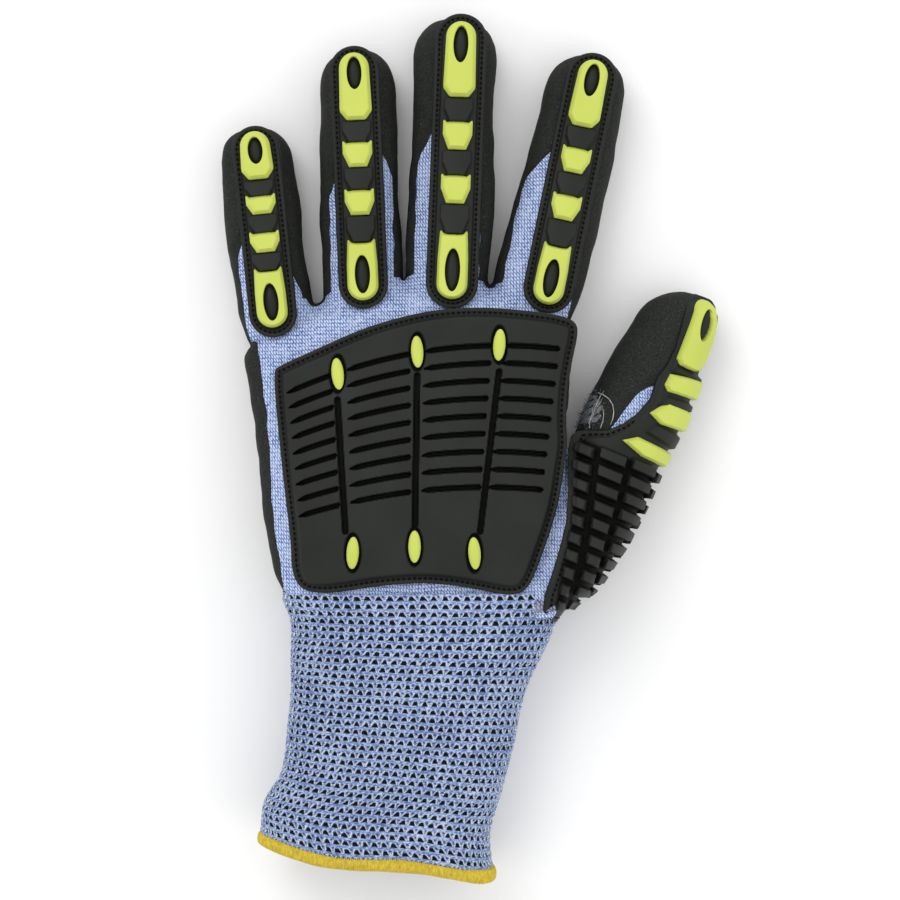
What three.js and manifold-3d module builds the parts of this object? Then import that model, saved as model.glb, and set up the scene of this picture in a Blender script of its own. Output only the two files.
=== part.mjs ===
// An impact glove for the left hand, lying palm down.
// A hollow knitted liner and cuff carry a dipped palm coating and rubber guards on the back of the hand.
// Lengths are in millimetres, +Y runs along the fingers, +X towards the thumb and +Z out of the back.
import * as THREE from 'three';
import { mergeVertices } from 'three/addons/utils/BufferGeometryUtils.js';
import Module from 'manifold-3d';

const wasm = await Module();
wasm.setup();

// Hand sizes
const palmWidth = 96;
const palmLength = 97;
const wristHeight = 38;
const knuckleArch = 10;
const fingerLift = 0.3;
const thumbLean = 22.8;

// Layers, from the inside out
const knitWall = 1.3;
const layerGap = 0.3;
const coatWall = 0.8;
const seamGap = 0.3;

// Cuff sizes
const cuffWidth = 71.6;
const cuffLength = 81.8;
const cuffDepth = 41;
const cuffWall = 2;
const hemWidth = 3.4;
const hemProud = 0.6;
const hemSlope = 0.139;

// Guard sizes
const stripWidth = 15.8;
const stripBase = 2.2;
const scaleWidth = 12.6;
const scaleHeight = 2.6;
const scaleSink = 0.5;
const loopWidth = 9.4;
const loopHeight = 2.8;
const loopHoleShare = 0.47;
const loopSquareness = 4;
const plateWidth = 92.4;
const plateLength = 86.7;
const plateBase = 2.4;
const plateField = 1.6;
const plateRim = 3.2;
const grooveWidth = 1;
const grooveDepth = 1.1;
const channelWidth = 2;
const channelDepth = 1.5;
const beadWidth = 3.6;
const beadLength = 9.8;
const beadProud = 1.6;
const padBase = 2;
const blockHeight = 2.4;
const blockPitch = 4.7;
const blockGap = 0.9;
const patchWall = 0.9;
const patchLength = 17;
const patchWidth = 12;
const patchAlong = 0.37;
const patchAcross = -0.38;
const patchHigh = 0.9;
const ballSides = { round: 12, high: 8 };

// Shape settings
const fingerSides = 10;
const thumbSides = 10;
const palmSides = 18;
const cuffSides = 18;
const loopPoints = 12;
const stripColumns = 3;
const padColumns = 5;
const padAngles = { first: -16, last: 144, count: 8 };
const sectionPower = 2.4;
const palmPower = 2.7;
const restSag = 1.4;
const coatOuter = layerGap + coatWall;
const guardClearance = 0.3;
const guardSink = 3;
const guardBite = 1.3;
const liftPlaces = [
  [0.5, 0.5], [0, 0.5], [0.5, 0], [1, 0.5], [0.5, 1], [0.25, 0.25], [0.75, 0.75], [0.25, 0.75], [0.75, 0.25],
];
const farAway = 400;
const seekFrom = 100;
const mergeGap = 1e-4;
const smoothing = { self: 0.5, along: 0.2, across: 0.05 };
const stripPasses = 3;
const padPasses = 1;
const beadPoints = 12;
const cutRise = 1;
const degree = Math.PI / 180;

// The hand's limbs: root, length, width and tip shift in shares of the palm's length and width,
// height in shares of the wrist's, lean in degrees from +Y.
// Rows are half widths and heights in shares of the limb's own width and height.
const limbRows = [
  { name: 'little', root: [-0.443, 0.953], lean: -7.6, length: 0.5567, width: 0.2292,
    height: 0.5, tipShift: -0.0052,
    window: { left: 0.31, right: 0.12 },
    rows: [
      { along: -0.21, left: 0.46, right: 0.48, high: 1.06 },
      { along: 0.0, left: 0.55, right: 0.45, high: 1 },
      { along: 0.3, left: 0.55, right: 0.42, high: 0.92 },
      { along: 0.55, left: 0.55, right: 0.46, high: 0.86 },
      { along: 0.79, left: 0.51, right: 0.44, high: 0.8 },
    ] },
  { name: 'ring', root: [-0.166, 1.001], lean: -1.2, length: 0.7577, width: 0.2437,
    height: 0.5526, tipShift: 0,
    window: { left: 0.44, right: 0.53 },
    rows: [
      { along: -0.17, left: 0.49, right: 0.5, high: 1.06 },
      { along: 0.0, left: 0.49, right: 0.5, high: 1 },
      { along: 0.3, left: 0.52, right: 0.48, high: 0.9 },
      { along: 0.55, left: 0.485, right: 0.455, high: 0.83 },
      { along: 0.83, left: 0.485, right: 0.46, high: 0.75 },
    ] },
  { name: 'middle', root: [0.109, 1.016], lean: 1.7, length: 0.8474, width: 0.2563,
    height: 0.5789, tipShift: 0,
    window: { left: 0.49, right: 0.43 },
    rows: [
      { along: -0.17, left: 0.49, right: 0.48, high: 1.06 },
      { along: 0.0, left: 0.49, right: 0.47, high: 1 },
      { along: 0.3, left: 0.505, right: 0.53, high: 0.9 },
      { along: 0.57, left: 0.45, right: 0.5, high: 0.82 },
      { along: 0.84, left: 0.47, right: 0.49, high: 0.74 },
    ] },
  { name: 'index', root: [0.412, 1.001], lean: 11.7, length: 0.7567, width: 0.2604,
    height: 0.5789, tipShift: 0.0167,
    window: { left: 0.44, right: 0.26 },
    rows: [
      { along: -0.19, left: 0.5, right: 0.36, high: 1.06 },
      { along: 0.0, left: 0.55, right: 0.475, high: 1 },
      { along: 0.3, left: 0.505, right: 0.53, high: 0.9 },
      { along: 0.57, left: 0.43, right: 0.545, high: 0.82 },
      { along: 0.81, left: 0.42, right: 0.515, high: 0.74 },
    ] },
  { name: 'thumb', root: [0.597, 0.298], lean: thumbLean, length: 0.7423, width: 0.2708,
    height: 0.6053, tipShift: 0.0469,
    window: { left: 0.56, right: 0.46 },
    rows: [
      { along: -0.56, left: 0.5, right: 0.06, high: 1.58 },
      { along: -0.25, left: 0.54, right: 0.28, high: 1.45 },
      { along: 0.0, left: 0.54, right: 0.385, high: 1.28 },
      { along: 0.22, left: 0.55, right: 0.41, high: 1.12 },
      { along: 0.42, left: 0.55, right: 0.45, high: 1 },
      { along: 0.62, left: 0.51, right: 0.43, high: 0.9 },
      { along: 0.79, left: 0.42, right: 0.4, high: 0.82 },
    ] },
];
const limbs = limbRows.map((limb) => ({
  ...limb,
  length: limb.length * palmLength,
  width: limb.width * palmWidth,
  height: limb.height * wristHeight,
  tipShift: limb.tipShift * palmWidth,
}));
const capSteps = [0.55, 0.87];
const capPower = 2.3;
const tipRise = 0.32;

// The palm from the wrist to the knuckles, in shares of its length, width and wrist height.
const palmRows = [
  { along: -0.08, left: 0.405, right: 0.47, high: 1 },
  { along: 0.0, left: 0.411, right: 0.48, high: 1 },
  { along: 0.14, left: 0.45, right: 0.495, high: 0.97 },
  { along: 0.36, left: 0.478, right: 0.512, high: 0.94 },
  { along: 0.575, left: 0.501, right: 0.486, high: 0.87 },
  { along: 0.78, left: 0.522, right: 0.5, high: 0.77 },
  { along: 0.92, left: 0.54, right: 0.49, high: 0.67, push: 0.8 },
  { along: 0.985, left: 0.51, right: 0.43, high: 0.5, push: 1.4 },
  { along: 1.02, left: 0.47, right: 0.38, high: 0.3, push: 2 },
];
const archCentre = 0.06;
const archSpan = 0.44;
const crotchLine = 1.04;
const thumbCut = 0.285;
const thumbCutLeft = -0.64;

// The cuff from the wrist to its hem, in shares of its length, width and depth.
const cuffRows = [
  { along: 0.0, left: 0.547, right: 0.655, high: 0.93 },
  { along: 0.14, left: 0.517, right: 0.58, high: 0.95 },
  { along: 0.32, left: 0.517, right: 0.479, high: 0.96 },
  { along: 0.5, left: 0.538, right: 0.436, high: 0.97 },
  { along: 0.68, left: 0.56, right: 0.38, high: 0.98 },
  { along: 0.86, left: 0.645, right: 0.33, high: 1 },
  { along: 1.0, left: 0.655, right: 0.345, high: 1.03 },
];

// The knitted back that the dip leaves bare, in shares of the palm's width and length.
const backWindow = [
  { across: -0.44, along: -0.2 },
  { across: -0.405, along: 0.026 },
  { across: -0.447, along: 0.249 },
  { across: -0.456, along: 0.505 },
  { across: -0.485, along: 0.729 },
  { across: -0.521, along: 0.889 },
  { across: -0.5, along: 0.955 },
  { across: 0.475, along: 0.955 },
  { across: 0.47, along: 0.825 },
  { across: 0.455, along: 0.633 },
  { across: 0.52, along: 0.505 },
  { across: 0.603, along: 0.525 },
  { across: 0.76, along: 0.46 },
  { across: 0.603, along: 0.14 },
  { across: 0.5, along: -0.006 },
  { across: 0.5, along: -0.2 },
];
const windowFloor = 0.36;
const tongueInset = 1.8;
const tongueShoulder = 0.17;
const tongueHalf = 0.3;
const tongueFoot = -0.22;
const tongueFloor = 0.55;

// The strips on the finger backs: tips in shares of the palm's width and length, roots in shares of its width
// and in millimetres off the plate's upper edge.
const strips = [
  { name: 'little', tip: [-0.512, 1.502], rootAcross: -0.442, offPlate: 10.6, widthShare: 0.93 },
  { name: 'ring', tip: [-0.192, 1.756], rootAcross: -0.156, offPlate: 6.5, widthShare: 0.96 },
  { name: 'middle', tip: [0.157, 1.857], rootAcross: 0.122, offPlate: 0.4, widthShare: 1.02 },
  { name: 'index', tip: [0.592, 1.736], rootAcross: 0.419, offPlate: 1.4, widthShare: 1 },
];
// What stands on a strip from tip to root, in shares of the strip's length.
const stripLayout = [
  { kind: 'tip_loop', start: 0.024, end: 0.283 },
  { kind: 'black_scale', start: 0.287, end: 0.367 },
  { kind: 'scale_1', start: 0.367, end: 0.463 },
  { kind: 'black_scale', start: 0.466, end: 0.545 },
  { kind: 'scale_2', start: 0.545, end: 0.648 },
  { kind: 'black_scale', start: 0.65, end: 0.741 },
  { kind: 'root_loop', start: 0.741, end: 0.976 },
];
const scaleRows = [
  { along: 0, half: 0.38 },
  { along: 0.08, half: 0.5 },
  { along: 0.6, half: 0.5 },
  { along: 0.96, half: 0.31 },
];
const stripEndRows = [
  { along: 0, half: 0.3 },
  { along: 0.03, half: 0.45 },
  { along: 0.09, half: 0.5 },
  { along: 0.28, half: 0.5 },
  { along: 0.46, half: 0.5 },
  { along: 0.64, half: 0.5 },
  { along: 0.8, half: 0.5 },
  { along: 0.93, half: 0.48 },
  { along: 1, half: 0.3 },
];

// The plate on the back of the hand, in shares of its own width and length about its centre.
const plateCentre = [0.041, 0.473];
const plateOutline = [
  { across: -0.5, along: 0.278 },
  { across: -0.365, along: 0.351 },
  { across: -0.226, along: 0.419 },
  { across: -0.087, along: 0.467 },
  { across: 0.052, along: 0.496 },
  { across: 0.191, along: 0.5 },
  { across: 0.33, along: 0.489 },
  { across: 0.49, along: 0.45 },
  { across: 0.5, along: 0.416 },
  { across: 0.462, along: 0.14 },
  { across: 0.468, along: 0.019 },
  { across: 0.442, along: -0.167 },
  { across: 0.386, along: -0.352 },
  { across: 0.322, along: -0.486 },
  { across: 0.26, along: -0.497 },
  { across: -0.016, along: -0.46 },
  { across: -0.345, along: -0.496 },
  { across: -0.399, along: -0.479 },
  { across: -0.431, along: -0.426 },
  { across: -0.459, along: -0.167 },
  { across: -0.489, along: 0.129 },
];
const plateTopRows = 8;
const plateBeads = [
  { across: -0.288, along: 0.267 },
  { across: -0.027, along: 0.343 },
  { across: 0.241, along: 0.36 },
  { across: -0.236, along: -0.357 },
  { across: -0.035, along: -0.335 },
  { across: 0.16, along: -0.358 },
];
const plateChannels = [
  { across: -0.291, top: 0.178, foot: -0.26, bottom: -0.3 },
  { across: -0.027, top: 0.263, foot: -0.035, bottom: -0.278 },
  { across: 0.24, top: 0.278, foot: 0.177, bottom: -0.3 },
];
// The four columns of grooves, as they stand in the first row and in the last.
const grooveColumns = [
  { left: -0.445, right: -0.319, lastLeft: -0.405, lastRight: -0.287 },
  { left: -0.257, right: -0.065, lastLeft: -0.236, lastRight: -0.062 },
  { left: 0.014, right: 0.206, lastLeft: -0.01, lastRight: 0.154 },
  { left: 0.278, right: 0.441, lastLeft: 0.209, lastRight: 0.376 },
];
const grooveRows = 9;
const grooveTop = 0.36;
const grooveBottom = -0.14;
const grooveCrown = 0.2;
const grooveBow = { first: 0.405, last: 0.285 };
const grooveSteps = 1;
const plateFolds = [-0.5, -0.417, -0.277, -0.042, 0.19, 0.36, 0.5];
const plateFoldRows = 4;

// The thumb guard, wrapped round the thumb: along in shares of the thumb's length,
// left and right as angles in degrees about the thumb's axis, from straight out to the side.
const thumbGuardRows = [
  { along: -0.535, left: 62, right: 46 },
  { along: -0.48, left: 100, right: 14 },
  { along: -0.4, left: 104, right: 6 },
  { along: -0.2, left: 100, right: 2 },
  { along: -0.03, left: 106, right: -4 },
  { along: 0.12, left: 124, right: -6 },
  { along: 0.24, left: 134, right: -6 },
  { along: 0.3, left: 98, right: -8 },
  { along: 0.42, left: 78, right: -8 },
  { along: 0.56, left: 67, right: -8 },
  { along: 0.8, left: 70, right: -6 },
  { along: 0.93, left: 72, right: 0 },
  { along: 1.0, left: 54, right: 18 },
];
const thumbAxisHeight = 0.42;
const thumbBlocks = { first: -0.44, last: 0.2 };
const blockMargin = 3;
const thumbBands = [
  { start: 0.28, end: 0.35, green: true },
  { start: 0.37, end: 0.415, green: false },
  { start: 0.43, end: 0.5, green: true },
  { start: 0.515, end: 0.56, green: false },
  { start: 0.575, end: 0.63, green: true },
  { start: 0.652, end: 0.69, green: false },
];
const thumbLoop = { start: 0.71, end: 0.96 };
const thumbBandLeft = { first: 86, last: 62 };
const thumbBandRight = 7;

const group = new THREE.Group();
const glove = new THREE.Group();
group.add(glove);

const knitFinish = { color: 0x9bacca, roughness: 0.95, metalness: 0 };
const cuffFinish = { color: 0x818fa8, roughness: 0.95, metalness: 0 };
const hemFinish = { color: 0xd7be3c, roughness: 0.9, metalness: 0 };
const coatFinish = { color: 0x2f3130, roughness: 0.85, metalness: 0 };
const patchFinish = { color: 0x6d7076, roughness: 0.95, metalness: 0 };
const rubberFinish = { color: 0x393c39, roughness: 0.55, metalness: 0 };
const greenFinish = { color: 0xd2dd66, roughness: 0.5, metalness: 0 };

// Helpers for solids

function solidOf(geometry) {
  const plain = geometry.clone();
  for (const name of Object.keys(plain.attributes)) {
    if (name !== 'position') plain.deleteAttribute(name);
  }
  const merged = mergeVertices(plain, mergeGap);
  const triVerts = Uint32Array.from(merged.index.array);
  const vertProperties = Float32Array.from(merged.attributes.position.array);
  return new wasm.Manifold(new wasm.Mesh({ numProp: 3, vertProperties, triVerts }));
}

function geometryOf(solid) {
  const mesh = solid.getMesh();
  const geometry = new THREE.BufferGeometry();
  geometry.setAttribute('position', new THREE.BufferAttribute(Float32Array.from(mesh.vertProperties), 3));
  geometry.setIndex(new THREE.BufferAttribute(Uint32Array.from(mesh.triVerts), 1));
  return geometry;
}

function addPart(name, solid, finish) {
  const geometry = geometryOf(solid).toNonIndexed();
  geometry.computeVertexNormals();
  const mesh = new THREE.Mesh(geometry, new THREE.MeshStandardMaterial(finish));
  mesh.name = name;
  glove.add(mesh);
}

// What is left of a piece after a cut, without the crumbs beside it
function mainBody(solid) {
  const bodies = solid.decompose();
  return bodies.reduce((most, next) => (next.volume() > most.volume() ? next : most));
}

function join(solids) {
  return solids.reduce((all, next) => all.add(next));
}

function blockBetween(low, high) {
  const size = high.clone().sub(low);
  const middle = high.clone().add(low).multiplyScalar(0.5);
  const block = new THREE.BoxGeometry(size.x, size.y, size.z);
  block.translate(middle.x, middle.y, middle.z);
  return solidOf(block);
}

function prism(points, low, high) {
  const shape = new THREE.Shape(points);
  const geometry = new THREE.ExtrudeGeometry(shape, { depth: high - low, bevelEnabled: false });
  geometry.translate(0, 0, low);
  return solidOf(geometry);
}

function mix(a, b, share) {
  return a + (b - a) * share;
}

// Lofted limbs. A ring lies in the upright plane through its centre, square to the limb's axis.

function ringPoints(ring, sides, power) {
  const points = [];
  const half = (ring.high - ring.low) / 2;
  for (let i = 0; i < sides; i += 1) {
    const angle = (2 * Math.PI * (i + 0.5)) / sides;
    const c = Math.cos(angle);
    const s = Math.sin(angle);
    const reach = (c < 0 ? ring.left : ring.right) * Math.sign(c) * Math.abs(c) ** (2 / power);
    const rise = ring.low + half + half * Math.sign(s) * Math.abs(s) ** (2 / power);
    const place = ring.centre.clone().addScaledVector(ring.across, reach);
    place.z = Math.max(rise, ring.flat);
    if (ring.bend) place.y += ring.bend(place.x);
    points.push(place);
  }
  return points;
}

function loft(rings, sides, power) {
  const rows = rings.map((ring) => ringPoints(ring, sides, power));
  const positions = [];
  const index = [];
  for (const row of rows) {
    for (const point of row) positions.push(point.x, point.y, point.z);
  }
  for (let r = 0; r + 1 < rows.length; r += 1) {
    for (let i = 0; i < sides; i += 1) {
      const a = r * sides + i;
      const b = r * sides + ((i + 1) % sides);
      index.push(a, a + sides, b, b, a + sides, b + sides);
    }
  }
  for (const end of [0, rows.length - 1]) {
    const centre = new THREE.Vector3();
    for (const point of rows[end]) centre.addScaledVector(point, 1 / sides);
    const hub = positions.length / 3;
    positions.push(centre.x, centre.y, centre.z);
    for (let i = 0; i < sides; i += 1) {
      const a = end * sides + i;
      const b = end * sides + ((i + 1) % sides);
      if (end === 0) index.push(hub, a, b);
      else index.push(hub, b, a);
    }
  }
  const geometry = new THREE.BufferGeometry();
  geometry.setAttribute('position', new THREE.BufferAttribute(Float32Array.from(positions), 3));
  geometry.setIndex(index);
  return solidOf(geometry);
}

function limbFrame(limb) {
  const along = new THREE.Vector3(Math.sin(limb.lean * degree), Math.cos(limb.lean * degree), 0);
  const across = new THREE.Vector3(along.y, -along.x, 0);
  const root = new THREE.Vector3(limb.root[0] * palmWidth, limb.root[1] * palmLength, 0);
  return { along, across, root };
}

function limbSkin(limb, offset, sides) {
  const { along, across, root } = limbFrame(limb);
  const base = coatOuter + fingerLift;
  const makeRing = (row, distance, shift, left, right, high, rise) => ({
    centre: root.clone().addScaledVector(along, distance).addScaledVector(across, shift),
    across,
    left,
    right,
    low: base - offset - restSag + rise,
    high: base + high + offset,
    flat: base - offset + rise,
  });
  const rings = limb.rows.map((row, r) => makeRing(
    row, row.along * limb.length - (r === 0 ? offset : 0), 0,
    row.left * limb.width + offset, row.right * limb.width + offset, row.high * limb.height, 0,
  ));
  const last = limb.rows[limb.rows.length - 1];
  const capLength = (1 - last.along) * limb.length + offset;
  for (const step of capSteps) {
    const shrink = (1 - step ** capPower) ** (1 / capPower);
    const full = last.high * limb.height + 2 * offset;
    const rise = full * (1 - shrink) * tipRise;
    rings.push(makeRing(
      last, last.along * limb.length + capLength * step, limb.tipShift * step ** 2,
      (last.left * limb.width + offset) * shrink, (last.right * limb.width + offset) * shrink,
      full * shrink - 2 * offset + rise, rise,
    ));
  }
  return loft(rings, sides, sectionPower);
}

function sidesOf(limb) {
  return limb.name === 'thumb' ? thumbSides : fingerSides;
}

function palmSkin(offset) {
  const across = new THREE.Vector3(1, 0, 0);
  const rings = palmRows.map((row) => ({
    centre: new THREE.Vector3(0, row.along * palmLength + (row.push ?? 0) * offset, 0),
    across,
    left: row.left * palmWidth + offset,
    right: row.right * palmWidth + offset,
    low: coatOuter - offset - restSag,
    high: coatOuter + row.high * wristHeight + offset,
    flat: coatOuter - offset,
    bend: (x) => -knuckleArch * Math.max(0, row.along) ** 3 * ((x / palmWidth - archCentre) / archSpan) ** 2,
  }));
  return loft(rings, palmSides, palmPower);
}

function handSkin(offset) {
  return join([palmSkin(offset), ...limbs.map((limb) => limbSkin(limb, offset, sidesOf(limb)))]);
}

// Cuff. Its rings tilt more and more towards the hem.

function cuffRing(share, offset) {
  const rows = cuffRows;
  let r = 0;
  while (r + 2 < rows.length && rows[r + 1].along < share) r += 1;
  const t = (share - rows[r].along) / (rows[r + 1].along - rows[r].along);
  const tilt = hemSlope * share;
  return {
    centre: new THREE.Vector3(0, -share * cuffLength, 0),
    across: new THREE.Vector3(1, 0, 0),
    left: mix(rows[r].left, rows[r + 1].left, t) * cuffWidth + offset,
    right: mix(rows[r].right, rows[r + 1].right, t) * cuffWidth + offset,
    low: hemProud - offset - restSag,
    high: hemProud + mix(rows[r].high, rows[r + 1].high, t) * cuffDepth + offset,
    flat: hemProud - offset,
    bend: (x) => -tilt * x,
  };
}

function cuffTube(start, end, outer, inner) {
  const inside = cuffRows.map((row) => row.along).filter((share) => share > start && share < end);
  const shares = [start, ...inside, end].reverse();
  const reach = 0.1;
  const body = loft(shares.map((share) => cuffRing(share, outer)), cuffSides, sectionPower);
  if (inner === null) return body;
  const first = cuffRing(start, inner);
  const last = cuffRing(end, inner);
  first.centre.y += reach * cuffLength;
  last.centre.y -= reach * cuffLength;
  const hollow = loft(
    [last, ...shares.map((share) => cuffRing(share, inner)), first], cuffSides, sectionPower,
  );
  return body.subtract(hollow);
}

// The dip's border on the back

function insetPoints(points, inset) {
  const turned = THREE.ShapeUtils.area(points) < 0 ? -1 : 1;
  return points.map((point, i) => {
    const before = points[(i + points.length - 1) % points.length];
    const after = points[(i + 1) % points.length];
    const side = after.clone().sub(before).normalize();
    return new THREE.Vector2(point.x - side.y * inset * turned, point.y + side.x * inset * turned);
  });
}

function tonguePoints(limb) {
  const { along, across, root } = limbFrame(limb);
  const last = limb.rows[1];
  const half = tongueHalf * stripWidth;
  const left = -last.left * limb.width + tongueInset;
  const right = last.right * limb.width - tongueInset;
  const outline = [
    [left, tongueFoot], [right, tongueFoot], [right, limb.window.right - tongueShoulder],
    [half, limb.window.right], [-half, limb.window.left], [left, limb.window.left - tongueShoulder],
  ];
  return outline.map(([x, share]) => {
    const place = root.clone().addScaledVector(across, x).addScaledVector(along, share * limb.length);
    return new THREE.Vector2(place.x, place.y);
  });
}

function windowSolid(inset) {
  const back = backWindow.map((row) => new THREE.Vector2(row.across * palmWidth, row.along * palmLength));
  const low = windowFloor * wristHeight;
  const palmPart = prism(insetPoints(back, inset), low, farAway);
  const tongues = limbs.map((limb) => prism(
    insetPoints(tonguePoints(limb), inset), coatOuter + tongueFloor * limb.height, farAway,
  ));
  return join([palmPart, ...tongues]);
}

// Regions that part the palm from the fingers and the thumb

function aboveCrotch(gap) {
  const line = crotchLine * palmLength + gap;
  return blockBetween(
    new THREE.Vector3(-farAway, line, -farAway), new THREE.Vector3(farAway, farAway, farAway),
  );
}

function beyondThumbCut(gap) {
  const thumb = limbs[limbs.length - 1];
  const { along, across, root } = limbFrame(thumb);
  const block = new THREE.BoxGeometry(farAway, farAway, farAway);
  const matrix = new THREE.Matrix4().makeBasis(across, along, new THREE.Vector3(0, 0, 1));
  const place = root.clone()
    .addScaledVector(along, thumbCut * thumb.length + gap + farAway / 2)
    .addScaledVector(across, thumbCutLeft * thumb.width + gap + farAway / 2);
  matrix.setPosition(place);
  block.applyMatrix4(matrix);
  return solidOf(block);
}

function palmRegion(foot) {
  return blockBetween(
    new THREE.Vector3(-farAway, foot, -farAway),
    new THREE.Vector3(farAway, crotchLine * palmLength - seamGap / 2, farAway),
  ).subtract(beyondThumbCut(-seamGap / 2));
}

function limbRegion(limb) {
  return limb.name === 'thumb' ? beyondThumbCut(seamGap / 2) : aboveCrotch(seamGap / 2);
}

// Draping. A pattern is flat: x across, y along, z up from the surface. A drape carries it onto the glove.

const seeker = new THREE.Raycaster();

function surfaceAt(mesh, from, direction) {
  seeker.set(from, direction);
  const hits = seeker.intersectObject(mesh, false);
  return hits.length > 0 ? hits[0].distance : null;
}

function smoothGrid(grid, passes) {
  let rows = grid;
  for (let pass = 0; pass < passes; pass += 1) {
    rows = rows.map((row, r) => row.map((value, c) => {
      const up = rows[Math.max(0, r - 1)][c];
      const down = rows[Math.min(rows.length - 1, r + 1)][c];
      const left = row[Math.max(0, c - 1)];
      const right = row[Math.min(row.length - 1, c + 1)];
      return smoothing.self * value + smoothing.along * (up + down) + smoothing.across * (left + right);
    }));
  }
  return rows;
}

function fillGaps(grid) {
  for (const row of grid) {
    for (let c = 0; c < row.length; c += 1) {
      if (row[c] === null) row[c] = row.find((value) => value !== null) ?? null;
    }
  }
  for (let r = 0; r < grid.length; r += 1) {
    const near = grid[r][0] === null ? grid.find((row) => row[0] !== null) : grid[r];
    grid[r] = near.slice();
  }
  return grid;
}

function gridValue(grid, xs, ys, x, y) {
  const cell = (list, value) => {
    let i = 0;
    while (i + 2 < list.length && list[i + 1] < value) i += 1;
    return [i, (value - list[i]) / (list[i + 1] - list[i])];
  };
  const [c, u] = cell(xs, x);
  const [r, v] = cell(ys, y);
  return mix(mix(grid[r][c], grid[r][c + 1], u), mix(grid[r + 1][c], grid[r + 1][c + 1], u), v);
}

// Raises a grid until no place between its points stands more than guardBite above it
function liftGrid(grid, xs, ys, measure) {
  for (let r = 0; r + 1 < ys.length; r += 1) {
    for (let c = 0; c + 1 < xs.length; c += 1) {
      for (const [u, v] of liftPlaces) {
        const x = mix(xs[c], xs[c + 1], u);
        const y = mix(ys[r], ys[r + 1], v);
        const found = measure(x, y);
        const excess = found === null ? 0 : found - gridValue(grid, xs, ys, x, y) - guardBite;
        if (excess > 0) {
          for (const row of [r, r + 1]) {
            grid[row][c] += excess;
            grid[row][c + 1] += excess;
          }
        }
      }
    }
  }
  return grid;
}

function steps(low, high, count) {
  return Array.from({ length: count + 1 }, (_, i) => mix(low, high, i / count));
}

// A drape straight down onto the back of the glove
function flatDrape(mesh, origin, along, xs, ys, passes) {
  const across = new THREE.Vector3(along.y, -along.x, 0);
  const place = (x, y) => origin.clone().addScaledVector(across, x).addScaledVector(along, y);
  const down = new THREE.Vector3(0, 0, -1);
  const top = seekFrom;
  const measure = (x, y) => {
    const distance = surfaceAt(mesh, place(x, y).setZ(top), down);
    return distance === null ? null : top - distance;
  };
  const raw = ys.map((y) => xs.map((x) => measure(x, y)));
  const grid = liftGrid(smoothGrid(fillGaps(raw), passes), xs, ys, measure);
  return { xs, ys, carry: (x, y, z) => place(x, y).setZ(gridValue(grid, xs, ys, x, y) + z) };
}

// A drape round the thumb: x is an angle in degrees, y a distance along the thumb's axis
function roundDrape(mesh, limb, xs, ys, passes) {
  const { along, across, root } = limbFrame(limb);
  const centre = (y) => root.clone().addScaledVector(along, y).setZ(thumbAxisHeight * limb.height + coatOuter);
  const outward = (x) => across.clone().multiplyScalar(Math.cos(x * degree))
    .add(new THREE.Vector3(0, 0, Math.sin(x * degree)));
  const far = seekFrom;
  const measure = (x, y) => {
    const from = centre(y).addScaledVector(outward(x), far);
    const distance = surfaceAt(mesh, from, outward(x).negate());
    return distance === null || distance > far ? null : far - distance;
  };
  const raw = ys.map((y) => xs.map((x) => measure(x, y)));
  const grid = liftGrid(smoothGrid(fillGaps(raw), passes), xs, ys, measure);
  return {
    xs, ys,
    carry: (x, y, z) => centre(y).addScaledVector(outward(x), gridValue(grid, xs, ys, x, y) + z),
  };
}

// A grid of top points over a like grid of bottom points, closed round its edge
function slabBetween(top, bottom) {
  const columns = top[0].length;
  const count = top.length * columns;
  const positions = [...top.flat(), ...bottom.flat()].flatMap((point) => point.toArray());
  const index = [];
  const at = (row, column) => row * columns + column;
  const wall = (a, b) => index.push(a, a + count, b, b, a + count, b + count);
  for (let r = 0; r + 1 < top.length; r += 1) {
    for (let c = 0; c + 1 < columns; c += 1) {
      const [a, b, d, e] = [at(r, c), at(r, c + 1), at(r + 1, c), at(r + 1, c + 1)];
      index.push(a, b, d, b, e, d);
      index.push(a + count, d + count, b + count, b + count, d + count, e + count);
    }
    wall(at(r + 1, 0), at(r, 0));
    wall(at(r, columns - 1), at(r + 1, columns - 1));
  }
  for (let c = 0; c + 1 < columns; c += 1) {
    wall(at(0, c), at(0, c + 1));
    wall(at(top.length - 1, c + 1), at(top.length - 1, c));
  }
  const geometry = new THREE.BufferGeometry();
  geometry.setAttribute('position', new THREE.BufferAttribute(Float32Array.from(positions), 3));
  geometry.setIndex(index);
  return solidOf(geometry);
}

// A strip of the drape: each row has a place along it and a left and right end.
function ribbon(drape, rows, columns, low, high) {
  const layer = (z) => rows.map((row) => steps(row.left, row.right, columns)
    .map((x) => drape.carry(x, row.y, z)));
  return slabBetween(layer(high), layer(low));
}

// A closed band between an outer and an inner outline with as many points
function ringBand(drape, outer, inner, low, high) {
  const loops = [[outer, high], [inner, high], [inner, low], [outer, low]];
  const positions = [];
  const index = [];
  const count = outer.length;
  for (const [points, z] of loops) {
    for (const point of points) positions.push(...drape.carry(point.x, point.y, z).toArray());
  }
  for (let k = 0; k < loops.length; k += 1) {
    for (let i = 0; i < count; i += 1) {
      const next = (i + 1) % count;
      const a = k * count + i;
      const b = k * count + next;
      const c = ((k + 1) % loops.length) * count + i;
      const d = ((k + 1) % loops.length) * count + next;
      index.push(a, b, c, b, d, c);
    }
  }
  const geometry = new THREE.BufferGeometry();
  geometry.setAttribute('position', new THREE.BufferAttribute(Float32Array.from(positions), 3));
  geometry.setIndex(index);
  return solidOf(geometry);
}

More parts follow.
